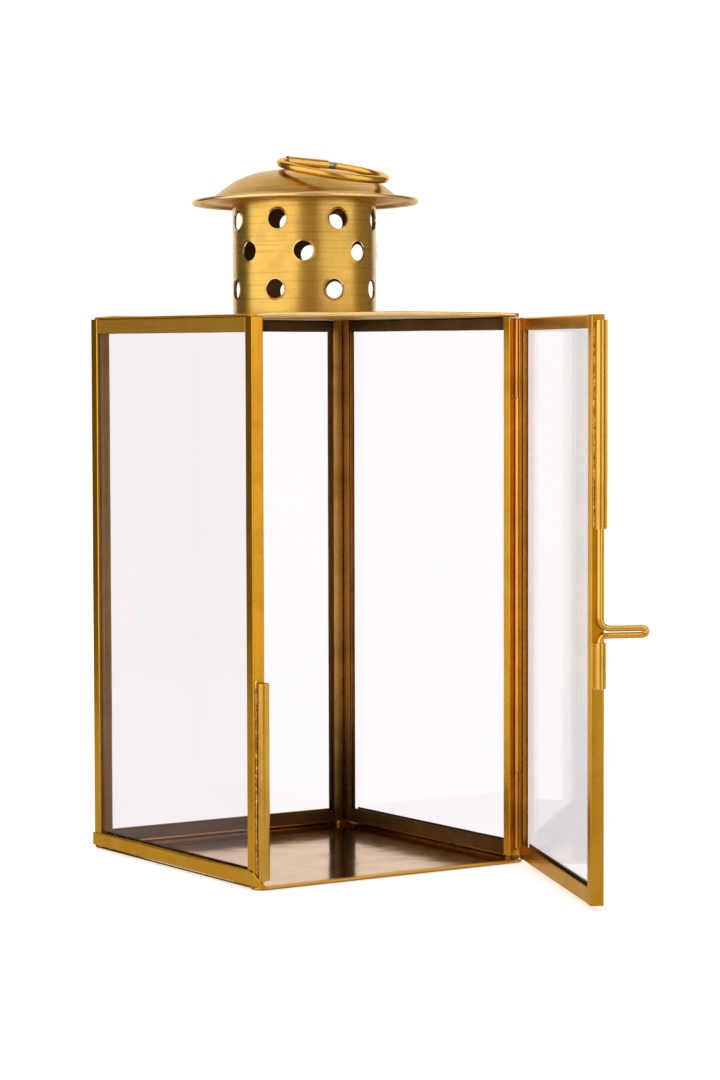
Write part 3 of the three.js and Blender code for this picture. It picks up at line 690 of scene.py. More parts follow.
def pane(name, x0, y0, x1, y1, z0, z1, body=BODY, at=None):
    """A cut pane with ground arrises."""
    b = Build()
    r = 0.25
    outline = round_poly([(x0, y0), (x1, y0), (x1, y1), (x0, y1)], [r] * 4, 2)
    prism(b, outline, z0, z1, up, wander=0.0, pitch=40.0, chamfer=0.2)
    return put(name, b, [M_GLASS], body, [name], smooth=0, at=at, weighted=False)


G0, G1 = HALF - CHANNEL / 2 - GLASS / 2, HALF - CHANNEL / 2 + GLASS / 2
H0, H1 = BACK - CHANNEL / 2 - GLASS / 2, BACK - CHANNEL / 2 + GLASS / 2
GZ0, GZ1 = PANEL_BOTTOM + STRIP + 0.3, PANEL_TOP - STRIP - 0.3
pane("left_glass", -G1, -HALF + STRIP + 0.3, -G0, BACK_IN - 0.3, GZ0, GZ1)
pane("back_glass", -HALF + STRIP + 0.3, H0, IN - STRIP - 0.3, H1, GZ0, GZ1)
pane("right_glass", G0, -HALF + STRIP + 0.3, G1, RR - STRIP - 0.3, GZ0, GZ1)

# the corner seam: solder drawn down the open corner
b = Build()
SX, SY = IN + 0.05, BACK_IN + 0.05
seam = [(SX, SY)] + arc(SX, SY, CHANNEL - 0.15, 0, 90, 12)


def seam_shape(outline, t):
    out = []
    for i, (x, y) in enumerate(outline):
        a = math.atan2(y - BACK_IN, x - IN)
        k = 1 - 0.05 * (1 + n3(t / 3.0, a * 2, 0, 4.4)) - 0.04 * abs(n3(t / 1.1, a * 3, 2, 8.8))
        out.append((SX + (x - SX) * k, SY + (y - SY) * k))
    return out


prism(b, seam, PANEL_BOTTOM, PANEL_TOP, up, 12, wander=0.0, pitch=0.8, shape=seam_shape)
put("rear_corner_solder_seam", b, [M_SEAM], BODY, ["rear_corner_solder_seam"], smooth=60)

# solder feet and the lumps around them
feet = {
    "solder_foot_front_left": (-HALF + 0.1, -HALF + 0.05, -IN - 0.1, -HALF + FLANGE),
    "solder_foot_front_right": (IN + 0.1, -HALF + 0.05, HALF - 0.1, -HALF + FRONT_RIGHT_FLANGE),
    "solder_foot_rear_left": (-HALF + 0.1, BACK_IN + 0.1, -HALF + BACK_LEFT_FLANGE, BACK - 0.1),
    "solder_foot_rear_right": (IN - 3, BACK_IN + 0.15, HALF - 0.4, BACK - 0.4),
}
for i, (name, (x0, y0, x1, y1)) in enumerate(feet.items()):
    b = Build()
    cx, cy = (x0 + x1) / 2, (y0 + y1) / 2
    outline = round_poly([(x0, y0), (x1, y0), (x1, y1), (x0, y1)], [1.1] * 4, 5)
    dense = resample([*[(a, c) for a, c in outline], outline[0]], 0.3)[:-1]
    rings = []
    for k, z in enumerate(np.linspace(0.52, 1.98, 7)):
        ring = []
        for a, c in dense:
            w = 1 - 0.10 * (1 + n3(a, c, z * 2, 20 + i))
            ring.append((cx + (a - cx) * w, cy + (c - cy) * w, z))
        rings.append(ring)
    b.loft(rings)
    put(name, b, [M_SOLDER], BODY, [name], smooth=60)

# ------------------------------------------------------------------------------------------------ base tray
TRAY, TRAY_BACK, LIPF, RIMZ = 51.3, 52.9, 53.8, 5.95


def lofted_loop(build, path2, section, mat=0, seed=0.0, wander=0.0):
    """Runs a section (out, z) round a closed plan path; out is measured along the path's outward normal."""
    p = np.array(path2, float)
    e = np.roll(p, -1, 0) - np.roll(p, 1, 0)
    e /= np.linalg.norm(e, axis=1)[:, None]
    nrm = np.stack([e[:, 1], -e[:, 0]], 1)
    rings = []
    s = 0.0
    for i in range(len(p)):
        s += float(np.linalg.norm(p[i] - p[i - 1]))
        w = wander * wave(s, seed)
        rings.append([(p[i][0] + nrm[i][0] * (o + w), p[i][1] + nrm[i][1] * (o + w), z) for o, z in section])
    build.loft(rings, closed=True, mat=mat)
    return build


def plate(build, outline, z0, z1, edge=0.15, hole=None, mat_top=0, mat_bottom=0, mat_edge=0):
    """A flat sheet with softened edges and, if given, a round hole."""
    if hole is None:
        small = inset(outline, edge)
        n = len(outline)
        layers = [(small, z0), (outline, z0 + edge * 0.7), (outline, z1 - edge * 0.7), (small, z1)]
        base = len(build.v)
        for ol, z in layers:
            build.v.extend((float(x), float(y), float(z)) for x, y in ol)
        for i in range(3):
            for k in range(n):
                k1 = (k + 1) % n
                build.f.append((base + i * n + k, base + i * n + k1, base + (i + 1) * n + k1, base + (i + 1) * n + k))
                build.m.append(mat_edge)
        build.f.append(tuple(base + k for k in reversed(range(n))))
        build.m.append(mat_bottom)
        build.f.append(tuple(base + 3 * n + k for k in range(n)))
        build.m.append(mat_top)
        return build
    # match the outline to the hole by angle, so that the sheet closes round it
    n = 96
    ang = [2 * math.pi * k / n for k in range(n)]
    poly = np.array(outline + [outline[0]], float)

    def reach(a):
        d = np.array((math.cos(a), math.sin(a)))
        best = None
        for q, r in zip(poly[:-1], poly[1:]):
            m = np.array([d, q - r]).T
            if abs(np.linalg.det(m)) < 1e-9:
                continue
            t, u = np.linalg.solve(m, q)
            if t > 0 and -1e-6 <= u <= 1 + 1e-6:
                best = t if best is None else max(best, t)
        return best

    corner = sorted(set([round(math.atan2(y, x) % (2 * math.pi), 5) for x, y in outline] + [round(a, 5) for a in ang]))
    outer = [(reach(a) * math.cos(a), reach(a) * math.sin(a)) for a in corner]
    inner = [(hole * math.cos(a), hole * math.sin(a)) for a in corner]
    n = len(corner)
    o_small = [(x * (1 - edge / max(1, math.hypot(x, y))), y * (1 - edge / max(1, math.hypot(x, y)))) for x, y in outer]
    i_big = [(x * (1 + edge / hole), y * (1 + edge / hole)) for x, y in inner]
    layers = [(i_big, z0), (o_small, z0), (outer, z0 + edge * 0.7), (outer, z1 - edge * 0.7), (o_small, z1), (i_big, z1), (inner, z1 - edge * 0.7), (inner, z0 + edge * 0.7)]
    mats = [mat_bottom, mat_edge, mat_edge, mat_edge, mat_top, mat_edge, mat_edge, mat_edge]
    base = len(build.v)
    for ol, z in layers:
        build.v.extend((float(x), float(y), float(z)) for x, y in ol)
    m = len(layers)
    for i in range(m):
        j = (i + 1) % m
        for k in range(n):
            k1 = (k + 1) % n
            build.f.append((base + i * n + k, base + i * n + k1, base + j * n + k1, base + j * n + k))
            build.m.append(mats[i])
    return build


b = Build()
tray_plan = round_poly([(-TRAY + 1.5, -LIPF + 0.5), (TRAY - 0.35, -LIPF + 0.5), (TRAY - 0.35, TRAY_BACK - 0.35), (-TRAY + 1.5, TRAY_BACK - 0.35)], [3.0, 3.6, 0.4, 0.4], 8)
plate(b, tray_plan, 0.0, 0.5, 0.1, mat_top=1, mat_bottom=2)
# three rims, each folded up with a soft bend and an uneven top edge


def rim_outline(h, bend=0.8):
    mid = [(0.25 - 1.6, 0.25)] + [(0.25 - bend + bend * math.sin(t), 0.25 + bend - bend * math.cos(t)) for t in np.linspace(0, math.pi / 2, 7)][0:]
    mid += [(0.25, z) for z in np.linspace(0.25 + bend + 0.6, h - 0.25, 5)]
    return strip_outline(mid, 0.45, 3)


def rim_shape(seed):
    def shape(outline, t):
        d = 0.10 * wave(t, seed, 26.0)
        lean = 0.06 * wave(t, seed + 9, 40.0)
        return [(a + lean * max(0.0, z - 1) / 5, z + (d if z > 3 else 0.0)) for a, z in outline]

    return shape


ro = rim_outline(RIMZ)
# the left rim runs on round the front corner and sinks into the lip; its fold lifts a little towards the back
left_plan = resample([(-TRAY + 0.51, TRAY_BACK - 0.28), (-TRAY + 0.51, -49.9)] + arc(-TRAY + 4.0, -49.9, 3.525, 180, 262, 16), 0.7)
left_s = np.concatenate([[0], np.cumsum(np.linalg.norm(np.diff(left_plan, axis=0), axis=1))])
left_d = np.gradient(left_plan, axis=0)
left_d /= np.linalg.norm(left_d, axis=1)[:, None]
LEFT_LEN = float(left_s[-1])
TURN0 = TRAY_BACK - 0.25 + 49.9


def left_place(a, z, t):
    x, y = np.interp(t, left_s, left_plan[:, 0]), np.interp(t, left_s, left_plan[:, 1])
    dx, dy = np.interp(t, left_s, left_d[:, 0]), np.interp(t, left_s, left_d[:, 1])
    n = math.hypot(dx, dy)
    return (float(x + dy / n * a), float(y - dx / n * a), z)


def left_shape(outline, t):
    top = float(np.interp(t, [0, 30, 70, 96, TURN0 - 1.5, TURN0 + 1.0, TURN0 + 3.2, LEFT_LEN], [5.45, 5.4, 5.35, 5.8, 5.9, 5.2, 2.4, 1.02]))
    lift = float(np.interp(t, [0, 25, 60, 90, 99, LEFT_LEN], [0.9, 0.9, 0.88, 0.8, 0.1, 0.0]))
    k = (top - 0.02) / (RIMZ - 0.02)
    d = 0.07 * wave(t, 31, 26.0) + 0.05 * n3(t / 2.2, 3.0, 1.0, 31)
    lean = 0.06 * wave(t, 40, 40.0)
    out = []
    for a, z in outline:
        zz = 0.02 + (z - 0.02) * k if z > 1.2 else z * min(1.0, k * 2.2)
        if z > 3:
            zz += d * min(1.0, k)
        zz = min(zz + lift * max(0.0, 1 - z / 3.2), max(zz, lift + 0.35))
        out.append((a + lean * max(0.0, z - 1) / 5, zz))
    return out


prism(b, rim_outline(RIMZ, 1.25), 0.0, LEFT_LEN, left_place, 31, wander=0.015, pitch=0.8, shape=left_shape)
prism(b, ro, -50.0, TRAY_BACK - 0.25, lambda a, z, t: (TRAY - 0.475 + a, t, z), 32, wander=0.02, shape=rim_shape(32))
prism(b, ro, -50.3, 50.3, lambda a, z, t: (t, TRAY_BACK - 0.51 + a, z), 33, wander=0.02, shape=rim_shape(33))
# the front lip: the sheet folded back on itself, round the corners
lip_path = [(-TRAY + 0.45, -49.6), (-TRAY + 0.45, -50.6)] + arc(-TRAY + 3.55, -LIPF + 3.6, 3.1, 180, 270, 10)
lip_path += [(x, -LIPF + 0.5) for x in np.linspace(-46.5, 46.5, 32)]
lip_path += arc(TRAY - 3.55, -LIPF + 3.6, 3.1, 270, 360, 10) + [(TRAY - 0.45, -50.6), (TRAY - 0.45, -49.6)]
lp = resample(lip_path, 1.5)
d = np.gradient(lp, axis=0)
d /= np.linalg.norm(d, axis=1)[:, None]
nr = np.stack([d[:, 1], -d[:, 0]], 1)
lip_sec = [(-2.3, 0.02), (-0.2, 0.02)] + [(0.0 + 0.48 * math.sin(t), 0.52 - 0.5 * math.cos(t)) for t in np.linspace(0.25, math.pi - 0.25, 8)] + [(-0.2, 1.03), (-2.1, 1.0), (-2.3, 0.8)]
rings = []
for i, (q, w) in enumerate(zip(lp, nr)):
    e = min(i, len(lp) - 1 - i)
    k = 1.0 if e > 3 else (0.35, 0.6, 0.82, 0.95)[e]
    wob = 0.05 * wave(i * 1.5, 41, 20)
    rings.append([(q[0] + w[0] * (o + wob) * 1.0, q[1] + w[1] * (o + wob), 0.02 + (z - 0.02) * (k if z > 0.5 else 1.0) + (0.03 * wave(i * 1.5, 43, 14) if z > 0.5 else 0)) for o, z in lip_sec])
b.loft(rings)
# faces low down by the floor, and at the foot of the left rim, take the dark fold brass: painted shade where the tray
# meets the floor
for i, f in enumerate(b.f):
    cz = sum(b.v[k][2] for k in f) / len(f)
    cx, cy = sum(b.v[k][0] for k in f) / len(f), sum(b.v[k][1] for k in f) / len(f)
    if b.m[i] == 0 and (cz < 0.30 or (cx < -TRAY + 3 and cy > -49 and cz < 1.15)):
        b.m[i] = 3
tray = put("base_tray", b, [M_SHEET, M_FLOOR, M_UNDER_SHADE, M_FOLD_SHADE], BODY, ["base_tray"], smooth=50)

# ------------------------------------------------------------------------------------------------ roof
b = Build()
RF, RB, RH = 51.4, BACK - 0.2, 51.0
roof_plan = round_poly([(-RH + 0.3, -RF + 0.3), (RH - 0.3, -RF + 0.3), (RH - 0.3, RB - 0.3), (-RH + 0.3, RB - 0.3)], [1.4, 1.4, 2.8, 2.8], 5)
plate(b, roof_plan, 177.35, 177.95, 0.12, hole=20.5, mat_top=0, mat_bottom=1)
hem_path = resample([*roof_plan, roof_plan[0]], 1.6)[:-1]
hem = [(-4.0, 177.57), (-0.05, 177.37)] + [(0.28 * math.sin(t) - 0.0, 178.0 - 0.62 * math.cos(t)) for t in np.linspace(0.35, math.pi - 0.35, 8)] + [(-0.05, 178.63), (-3.8, 178.51), (-4.0, 178.3)]
lofted_loop(b, hem_path, hem, seed=51, wander=0.05)
for i, (x, y, z) in enumerate(b.v):
    side = min(1.0, max(0.0, (-x - 44.0) / 5.5))
    front = min(1.0, max(0.0, (-y - 40.0) / 8.0))
    press = side * 0.62 * min(1.0, max(0.0, (z - 177.35) / 1.2))
    bow = front * float(np.interp(x, [-51, -20, 5, 40, 51], [0.0, 0.12, 0.5, 0.3, 0.1]))
    b.v[i] = (x, y, z - press + bow * (1 - side))
# the front hem takes the pale rim brass: a painted highlight along the roof's front edge
for i, f in enumerate(b.f):
    if sum(b.v[k][1] for k in f) / len(f) < -RF + 0.2:
        b.m[i] = 2
put("roof_plate", b, [M_SHEET, M_UNDER_SHADE, M_RIM_HIGHLIGHT], BODY, ["roof_plate"], smooth=50)

# ------------------------------------------------------------------------------------------------ chimney
SEAM = math.radians(92.2)


def chimney():
    r = CHIMNEY_R
    w = 2 * math.pi * r
    holes = []
    for z, angles in HOLE_ROWS:
        for a in angles:
            u = ((math.radians(a) - SEAM) % (2 * math.pi)) * r
            holes.append((u, z))
    pts, edges = [], []
    cols, rows = 132, 30
    us = [w * i / cols for i in range(cols + 1)]
    zs = [CHIMNEY_Z0 + (CHIMNEY_Z1 - CHIMNEY_Z0) * j / rows for j in range(rows + 1)]
    for i, u in enumerate(us):
        for j, z in enumerate(zs):
            if all(math.hypot(u - hu, z - hz) > HOLE_R + 1.25 for hu, hz in holes):
                pts.append((u, z))
    border = len(pts)
    ring_n = 40
    for hu, hz in holes:
        for dr in (0.0, 0.18, 0.42, 0.85):
            first = len(pts)
            for k in range(ring_n):
                a = 2 * math.pi * (k + (0.5 if dr in (0.18, 0.85) else 0.0)) / ring_n
                pts.append((hu + (HOLE_R + dr) * math.cos(a), hz + (HOLE_R + dr) * math.sin(a)))
            if dr == 0.0:
                edges += [(first + k, first + (k + 1) % ring_n) for k in range(ring_n)]
    out = geometry.delaunay_2d_cdt([Vector(p) for p in pts], edges, [], 0, 1e-5)
    verts, faces = [tuple(v) for v in out[0]], [tuple(f) for f in out[2]]
    keep = []
    for f in faces:
        cu = sum(verts[i][0] for i in f) / 3
        cz = sum(verts[i][1] for i in f) / 3
        if all(math.hypot(cu - hu, cz - hz) > HOLE_R * 0.995 for hu, hz in holes):
            keep.append(f)
    # join the two sides of the seam
    low = {round(z, 3): i for i, (u, z) in enumerate(verts) if u < 1e-4}
    same = {i: low[round(z, 3)] for i, (u, z) in enumerate(verts) if u > w - 1e-4 and round(z, 3) in low}
    keep = [tuple(same.get(i, i) for i in f) for f in keep]
    used = sorted({i for f in keep for i in f})
    index = {i: k for k, i in enumerate(used)}
    faces = [tuple(index[i] for i in f) for f in keep]
    flat = [verts[i] for i in used]
    n = len(flat)
    outer, inner = [], []
    cx, cy = CHIMNEY_CENTRE
    for u, z in flat:
        a = SEAM + u / r
        d, who = min((math.hypot(((u - hu + w / 2) % w) - w / 2, z - hz), k) for k, (hu, hz) in enumerate(holes))
        ang = math.atan2(z - holes[who][1], u - holes[who][0])
        lift = 0.0
        if d < HOLE_R + 1.2:
            t = d - HOLE_R
            lift = 0.13 * math.exp(-((t / 0.32) ** 2)) * (0.75 + 0.6 * n3(math.cos(ang) * 1.5, math.sin(ang) * 1.5, who * 3.3, 6.0))
            lift -= 0.05 * math.exp(-(((t - 0.75) / 0.3) ** 2))
        dent = 0.05 * n3(math.cos(a) * 1.4, math.sin(a) * 1.4, z / 14.0, 2.0)
        dent += 0.02 * n3(math.cos(a) * 5, math.sin(a) * 5, z / 4.0, 3.0)
        ro, ri = r - 0.06 + dent + lift, r - CHIMNEY_WALL + dent + lift * 0.6
        outer.append((cx + ro * math.cos(a), cy + ro * math.sin(a), z))
        inner.append((cx + ri * math.cos(a), cy + ri * math.sin(a), z))
    b = Build()
    count = {}
    for f in faces:
        for k in range(3):
            e = (f[k], f[(k + 1) % 3])
            count[e] = count.get(e, 0) + 1

    def edge_of_hole(f):
        cu, cz = (sum(flat[i][c] for i in f) / len(f) for c in (0, 1))
        return any(math.hypot(((cu - hu + w / 2) % w) - w / 2, cz - hz) < HOLE_R + 0.15 for hu, hz in holes)

    all_faces = [(f, 2 if max(flat[i][0] for i in f) - min(flat[i][0] for i in f) < 9 and edge_of_hole(f) else 0) for f in faces]
    all_faces += [(tuple(n + i for i in reversed(f)), 1) for f in faces]
    for (i, j) in list(count):
        if (j, i) not in count:
            all_faces.append(((j, i, n + i, n + j), 2))
    b.v = outer + inner
    b.f = [f for f, _ in all_faces]
    b.m = [m for _, m in all_faces]
    return b


M_TUBE_IN = brass("brass_tube_inside", "round", base=(0.15, 0.075, 0.026), dark=(0.07, 0.032, 0.01), pale=(0.24, 0.14, 0.06), rough=0.42, coat=0.0)
put("chimney_tube", chimney(), [M_TUBE, M_TUBE_IN, M_HOLE], BODY, ["chimney_tube"], smooth=40)

# ------------------------------------------------------------------------------------------------ cap
CAP = [(0, 225.95), (9, 225.75), (14, 225.2), (17.5, 224.4), (20.5, 223.35), (23.2, 222.05), (25.6, 220.5), (27.8, 218.9), (29.4, 217.6), (30.7, 216.65), (32.2, 216.22), (36.3, 216.0)]


def spline(points, per):
    p = [np.array(q, float) for q in points]
    p = [2 * p[0] - p[1]] + p + [2 * p[-1] - p[-2]]
    out = []
    for i in range(1, len(p) - 2):
        for k in range(per):
            t = k / per
            a, b_, c, e = p[i - 1], p[i], p[i + 1], p[i + 2]
            out.append(0.5 * ((2 * b_) + (c - a) * t + (2 * a - 5 * b_ + 4 * c - e) * t * t + (3 * b_ - a - 3 * c + e) * t**3))
    out.append(p[-2])
    return [tuple(q) for q in out]


TIP = Matrix.Rotation(math.radians(0.4), 3, Vector((-0.549, -0.836, 0)).normalized()) @ Matrix.Rotation(math.radians(-1.35), 3, Vector((0.836, -0.549, 0)).normalized())


def at_cap(x, y, z):
    """From a level cap on the axis to the cap as it was soldered on, a little askew."""
    q = TIP @ Vector((x, y, z - CAP_PIVOT_Z))
    return q.x + CAP_CENTRE[0], q.y + CAP_CENTRE[1], q.z + CAP_PIVOT_Z


def cap():
    top = spline(CAP, 6)
    top[0] = (0.0, top[0][1])
    rim = [(36.4 + 0.7 * math.cos(math.radians(a)), 215.3 + 0.7 * math.sin(math.radians(a))) for a in np.linspace(80, -100, 13)]
    back = [(35.4, 214.72), (34.95, 215.1), (34.7, 215.5)]
    under = []
    for i in range(len(top) - 1, 0, -1):
        (r0, z0), (r1, z1) = top[max(0, i - 1)], top[min(len(top) - 1, i + 1)]
        dx, dz = r1 - r0, z1 - z0
        length = math.hypot(dx, dz)
        r, z = top[i][0] + dz / length * 0.45, top[i][1] - dx / length * 0.45
        if r < 34.5:
            under.append((max(0.2, r), z))
    profile = top[1:] + rim + back + under[::2]
    # the rolled rim takes the pale rim brass, a painted highlight; the underside takes the inside brass
    mats = [0] * (len(top) - 1) + [2] * 9 + [0] * 5 + [1] * 200
    sides = 180
    rows = []
    for r, z in profile:
        row = []
        for k in range(sides):
            a = 2 * math.pi * k / sides
            c, s = math.cos(a), math.sin(a)
            dz = 0.05 * n3(c * r / 18, s * r / 18, z / 30, 9.0) + 0.012 * n3(c * r / 4, s * r / 4, z / 9, 4.0)
            dr = 0.06 * n3(c * 1.3, s * 1.3, 5.0, 7.0) if r > 33 else 0.0
            ring = 0.010 * math.sin(r * 7.1) + 0.008 * math.sin(r * 17.3 + 1.0)
            rr = r * (1 + 0) + dr
            row.append((rr * c, rr * s, z - 0.05 + dz * 0.8 + (ring if z > 215.9 else 0)))
        rows.append(row)
    b = Build()
    base = len(b.v)
    for row in rows:
        b.v.extend(row)
    for i in range(len(rows) - 1):
        for k in range(sides):
            k1 = (k + 1) % sides
            b.f.append((base + i * sides + k, base + i * sides + k1, base + (i + 1) * sides + k1, base + (i + 1) * sides + k))
            b.m.append(mats[i])
    for row, flip, m in ((0, False, 0), (len(rows) - 1, True, 1)):
        z = rows[row][0][2]
        c = len(b.v)
        b.v.append((0.0, 0.0, float(np.mean([q[2] for q in rows[row]]))))
        for k in range(sides):
            k1 = (k + 1) % sides
            b.f.append((c, row * sides + k1, row * sides + k) if not flip else (c, row * sides + k, row * sides + k1))
            b.m.append(m)
    return b


M_CAP_IN = brass("brass_cap_inside", "rings", base=(0.62, 0.40, 0.22), dark=(0.36, 0.2, 0.09), pale=(0.7, 0.52, 0.36), rough=0.3, aniso=0.3)
put("chimney_cap", cap(), [M_CAP, M_CAP_IN, M_RIM_HIGHLIGHT], BODY, ["chimney_cap"], smooth=50, at=at_cap)
# three bent strips that stand inside the chimney's mouth and carry the cap
for side, deg in (("front", -90), ("right", 30), ("left", 150)):
    f, ca, sa = 22.35 - 0.3, math.cos(math.radians(deg)), math.sin(math.radians(deg))
    line = [(f, 212.95), (f, 216.0), (f, 219.0), (f, 220.1)] + [(f - 1.2 + 1.2 * math.cos(q), 220.1 + 0.85 * math.sin(q)) for q in np.linspace(0.25, 1.25, 5)] + [(19.6, 221.95), (17.75, 223.0)]
    b = Build()
    prism(b, strip_outline(smooth_path(line, 0.35, 2), 0.5, 2), -2.95, 2.95, lambda u, z, t: (u * ca - t * sa, u * sa + t * ca, z), 63, wander=0.0, pitch=1.0, chamfer=0.1)
    # they take the dark inside brass: painted shade under the cap
    put("cap_bracket_" + side, b, [SHADE_Z], BODY, ["cap_bracket_" + side], at=at_cap)

# ------------------------------------------------------------------------------------------------ ring and sleeve
SL0, SL1 = -7.7, 7.7
RCX, RCY = RING_CENTRE
cs_, ss_ = math.cos(math.radians(RING_SLOPE)), math.sin(math.radians(RING_SLOPE))


def at_perch(x, y, z):
    """From the sleeve's own axis to the sleeve as it sits on the cap, dipping to the right."""
    return SLEEVE_OFFSET + x * cs_ + z * ss_, RCY + y, RING_AXIS_Z - x * ss_ + z * cs_


sleeve = strip_outline(arc(0, 0, 1.58, 200, 200 + 352, 40), 0.33, 3)
b = Build()
prism(b, sleeve, SL0, SL1, along_x, 61, wander=0.02, pitch=0.8, chamfer=0.06)
put("ring_sleeve", b, [brass("brass_sleeve", "x", base=(0.76, 0.47, 0.12), dark=(0.40, 0.20, 0.04), rough=0.22, grain_bump=0.1, spots=0.9, tarnish=0.6, waviness=0.5)], BODY, ["ring_sleeve"], at=at_perch)

cr, sr = math.cos(math.radians(RING_REST)), math.sin(math.radians(RING_REST))


def at_ring(x, y, z):
    return at_perch(RCX - SLEEVE_OFFSET + x, y * cr - z * sr, y * sr + z * cr)


RS, RRAD = 9.0, 17.3
rc = math.sqrt(RRAD**2 - RS**2)
turn = math.degrees(math.atan2(rc, RS)) - 12
ring_path = [(RS + 0.5, 0.0), (RS + 0.85, -0.03), (RS + 1.7, -0.75)] + arc(0, -rc, RRAD, turn, -180 - turn, 60)
ring_path += [(-RS - 1.5, -0.75), (-RS + 0.9, 0), (0, 0), (RS - 1.2, 0), (RS - 0.15, -0.01)]
rp = smooth_path([(x, y, 0.0) for x, y in ring_path], 0.6, 5)
b = Build()
swept(b, rp, 1.25, 24, seed=3, lump=0.006)
for i, f in enumerate(b.f):
    c = np.mean([b.v[k] for k in f], axis=0)
    if 6.5 < c[0] < 10.2 and c[1] > -1.3:
        b.m[i] = 1
M_RING = brass("brass_ring", "x", base=(0.72, 0.43, 0.085), dark=(0.42, 0.22, 0.035), rough=0.18, grain_bump=0.05, tarnish=0.35, spots=0.15, waviness=0.12)
put("carrying_ring", b, [M_RING, M_GREY], "ring", ["carrying_ring"], at=at_ring)

# solder that holds the sleeve on the crown of the cap
b = Build()
for side_y in (-1.35, 1.35):
    path = [(x, side_y + 0.18 * wave(x, 70 + side_y, 4.0), -1.72 + 0.08 * wave(x, 71 + side_y, 3.0)) for x in np.linspace(SL0 + 0.3, SL1 - 0.3, 40)]
    swept(b, path, 0.42, 12, seed=72 + side_y, lump=0.5, taper=1.0)
put("sleeve_solder", b, [M_SOLDER_BRIGHT], BODY, smooth=70, at=at_perch)

# ------------------------------------------------------------------------------------------------ hinge and catch on the body


def serrate(seed, reach, where, pitch=1.15, depth=0.10):
    """Small teeth along the cut edge of a rolled strip."""

    def shape(outline, t):
        d = depth * (abs(((t / pitch + seed) % 1.0) - 0.5) * 2 - 0.5) + 0.05 * wave(t, seed, 9.0)
        return [(a + d * reach[0], b_ + d * reach[1]) if where(a, b_) else (a, b_) for a, b_ in outline]

    return shape


hx, hy = HINGE
# the leaf lies on the post, then the strip curls round the pin
leaf_y = -HALF - 0.05 - 0.17
curl = [(x, leaf_y) for x in np.linspace(50.55, 49.6, 4)] + arc(hx, hy, 0.84, 62, 62 + 318, 30)
mid_knuckle = strip_outline(curl, 0.32, 2)
b = Build()
prism(b, mid_knuckle, 29.45, 151.05, up, 81, wander=0.02, pitch=0.55, chamfer=0.05, shape=serrate(0.3, (1, 0), lambda x, y: x > 50.3))
put("post_knuckle_middle", b, [M_ROLL], BODY, ["post_knuckle_middle"])
b = Build()
pin = [(hx + 0.03 * wave(z, 91, 40), hy + 0.03 * wave(z, 92, 40), z) for z in np.linspace(4.4, 176.6, 90)]
swept(b, pin, 0.55, 12, seed=90)
blob(b, (hx, hy, 4.0), (0.85, 0.85, 0.45), 93, 0.15)
blob(b, (hx, hy, 176.8), (0.8, 0.8, 0.25), 94, 0.15)
put("hinge_pin", b, [M_WIRE], BODY, ["hinge_pin"])

# catch tube: a rolled strip with its foot soldered on the left front post
CX, CR = -48.4, 1.85
cyy = -HALF - 0.05 - CR
ct = strip_outline(arc(CX, cyy, CR - 0.18, 118, 118 + 350, 44), 0.36, 2)
b = Build()


def catch_shape(outline, t):
    tooth = 0.05 * (abs(((t / 0.95) % 1.0) - 0.5) * 2 - 0.5) if t > 24 else 0.0
    out = []
    for x, y in outline:
        a = math.atan2(y - cyy, x - CX)
        k = 1 + (tooth / CR if math.cos(a + 1.9) > 0.55 else 0.0) + 0.008 * n3(t / 9, math.cos(a), math.sin(a), 5)
        out.append((CX + (x - CX) * k, cyy + (y - cyy) * k))
    return out


prism(b, ct, 3.05, 64.3, up, 83, wander=0.02, pitch=0.45, chamfer=0.06, shape=catch_shape)
put("post_catch_tube", b, [M_ROLL], BODY, ["post_catch_tube"])
b = Build()
path = [(-49.95 + 0.13 * wave(z, 95, 5.0), -51.05 + 0.07 * wave(z, 96, 3.0), z) for z in np.linspace(3.3, 65.6, 150)]
swept(b, path, lambda t: 0.34 + 0.10 * n3(t * 40, 1.0, 2.0, 5.5), 12, seed=97, lump=0.55, taper=1.2)
path = [(-46.95 + 0.07 * wave(z, 98, 5.0), -51.0, z) for z in np.linspace(3.4, 63.8, 120)]
swept(b, path, lambda t: 0.24 + 0.06 * n3(t * 40, 1.0, 2.0, 7.5), 10, seed=99, lump=0.4, taper=1.2)
put("catch_tube_solder", b, [M_SOLDER_BRIGHT], BODY, smooth=70)

# ------------------------------------------------------------------------------------------------ door
DX0, DX1 = -DOOR_LENGTH, -DOOR_HINGE_GAP
DG = 0.15
stile("door_hinge_stile", DX1, DX1 - FLANGE, DOOR_OUTER + 0.09, DOOR_INNER, up, 13, M_DOOR_Z, DOOR_BOTTOM, DOOR_TOP, "door", at_door, (2.7, 0.0))
stile("door_free_stile", DX0, DX0 + FLANGE, DOOR_OUTER, DOOR_INNER, up, 14, M_DOOR_Z, DOOR_BOTTOM, DOOR_TOP, "door", at_door)
rail("door_top_rail", DOOR_TOP, DOOR_TOP - FLANGE, DOOR_OUTER, DOOR_INNER, DX0 + FLANGE + DG, DX1 - FLANGE - DG, along_x, 15, M_DOOR_X, "door", at_door)
rail("door_bottom_rail", DOOR_BOTTOM, DOOR_BOTTOM + DOOR_BOTTOM_FLANGE, DOOR_OUTER, DOOR_INNER, DX0 + FLANGE + DG, DX1 - FLANGE - DG, along_x, 16, M_DOOR_X, "door", at_door)
DM = (DOOR_INNER + DOOR_OUTER) / 2
pane("door_glass", DX0 + STRIP + 0.3, DM - GLASS / 2, DX1 - STRIP - 0.3, DM + GLASS / 2, DOOR_BOTTOM + STRIP + 0.3, DOOR_TOP - STRIP - 0.3, "door", at_door)

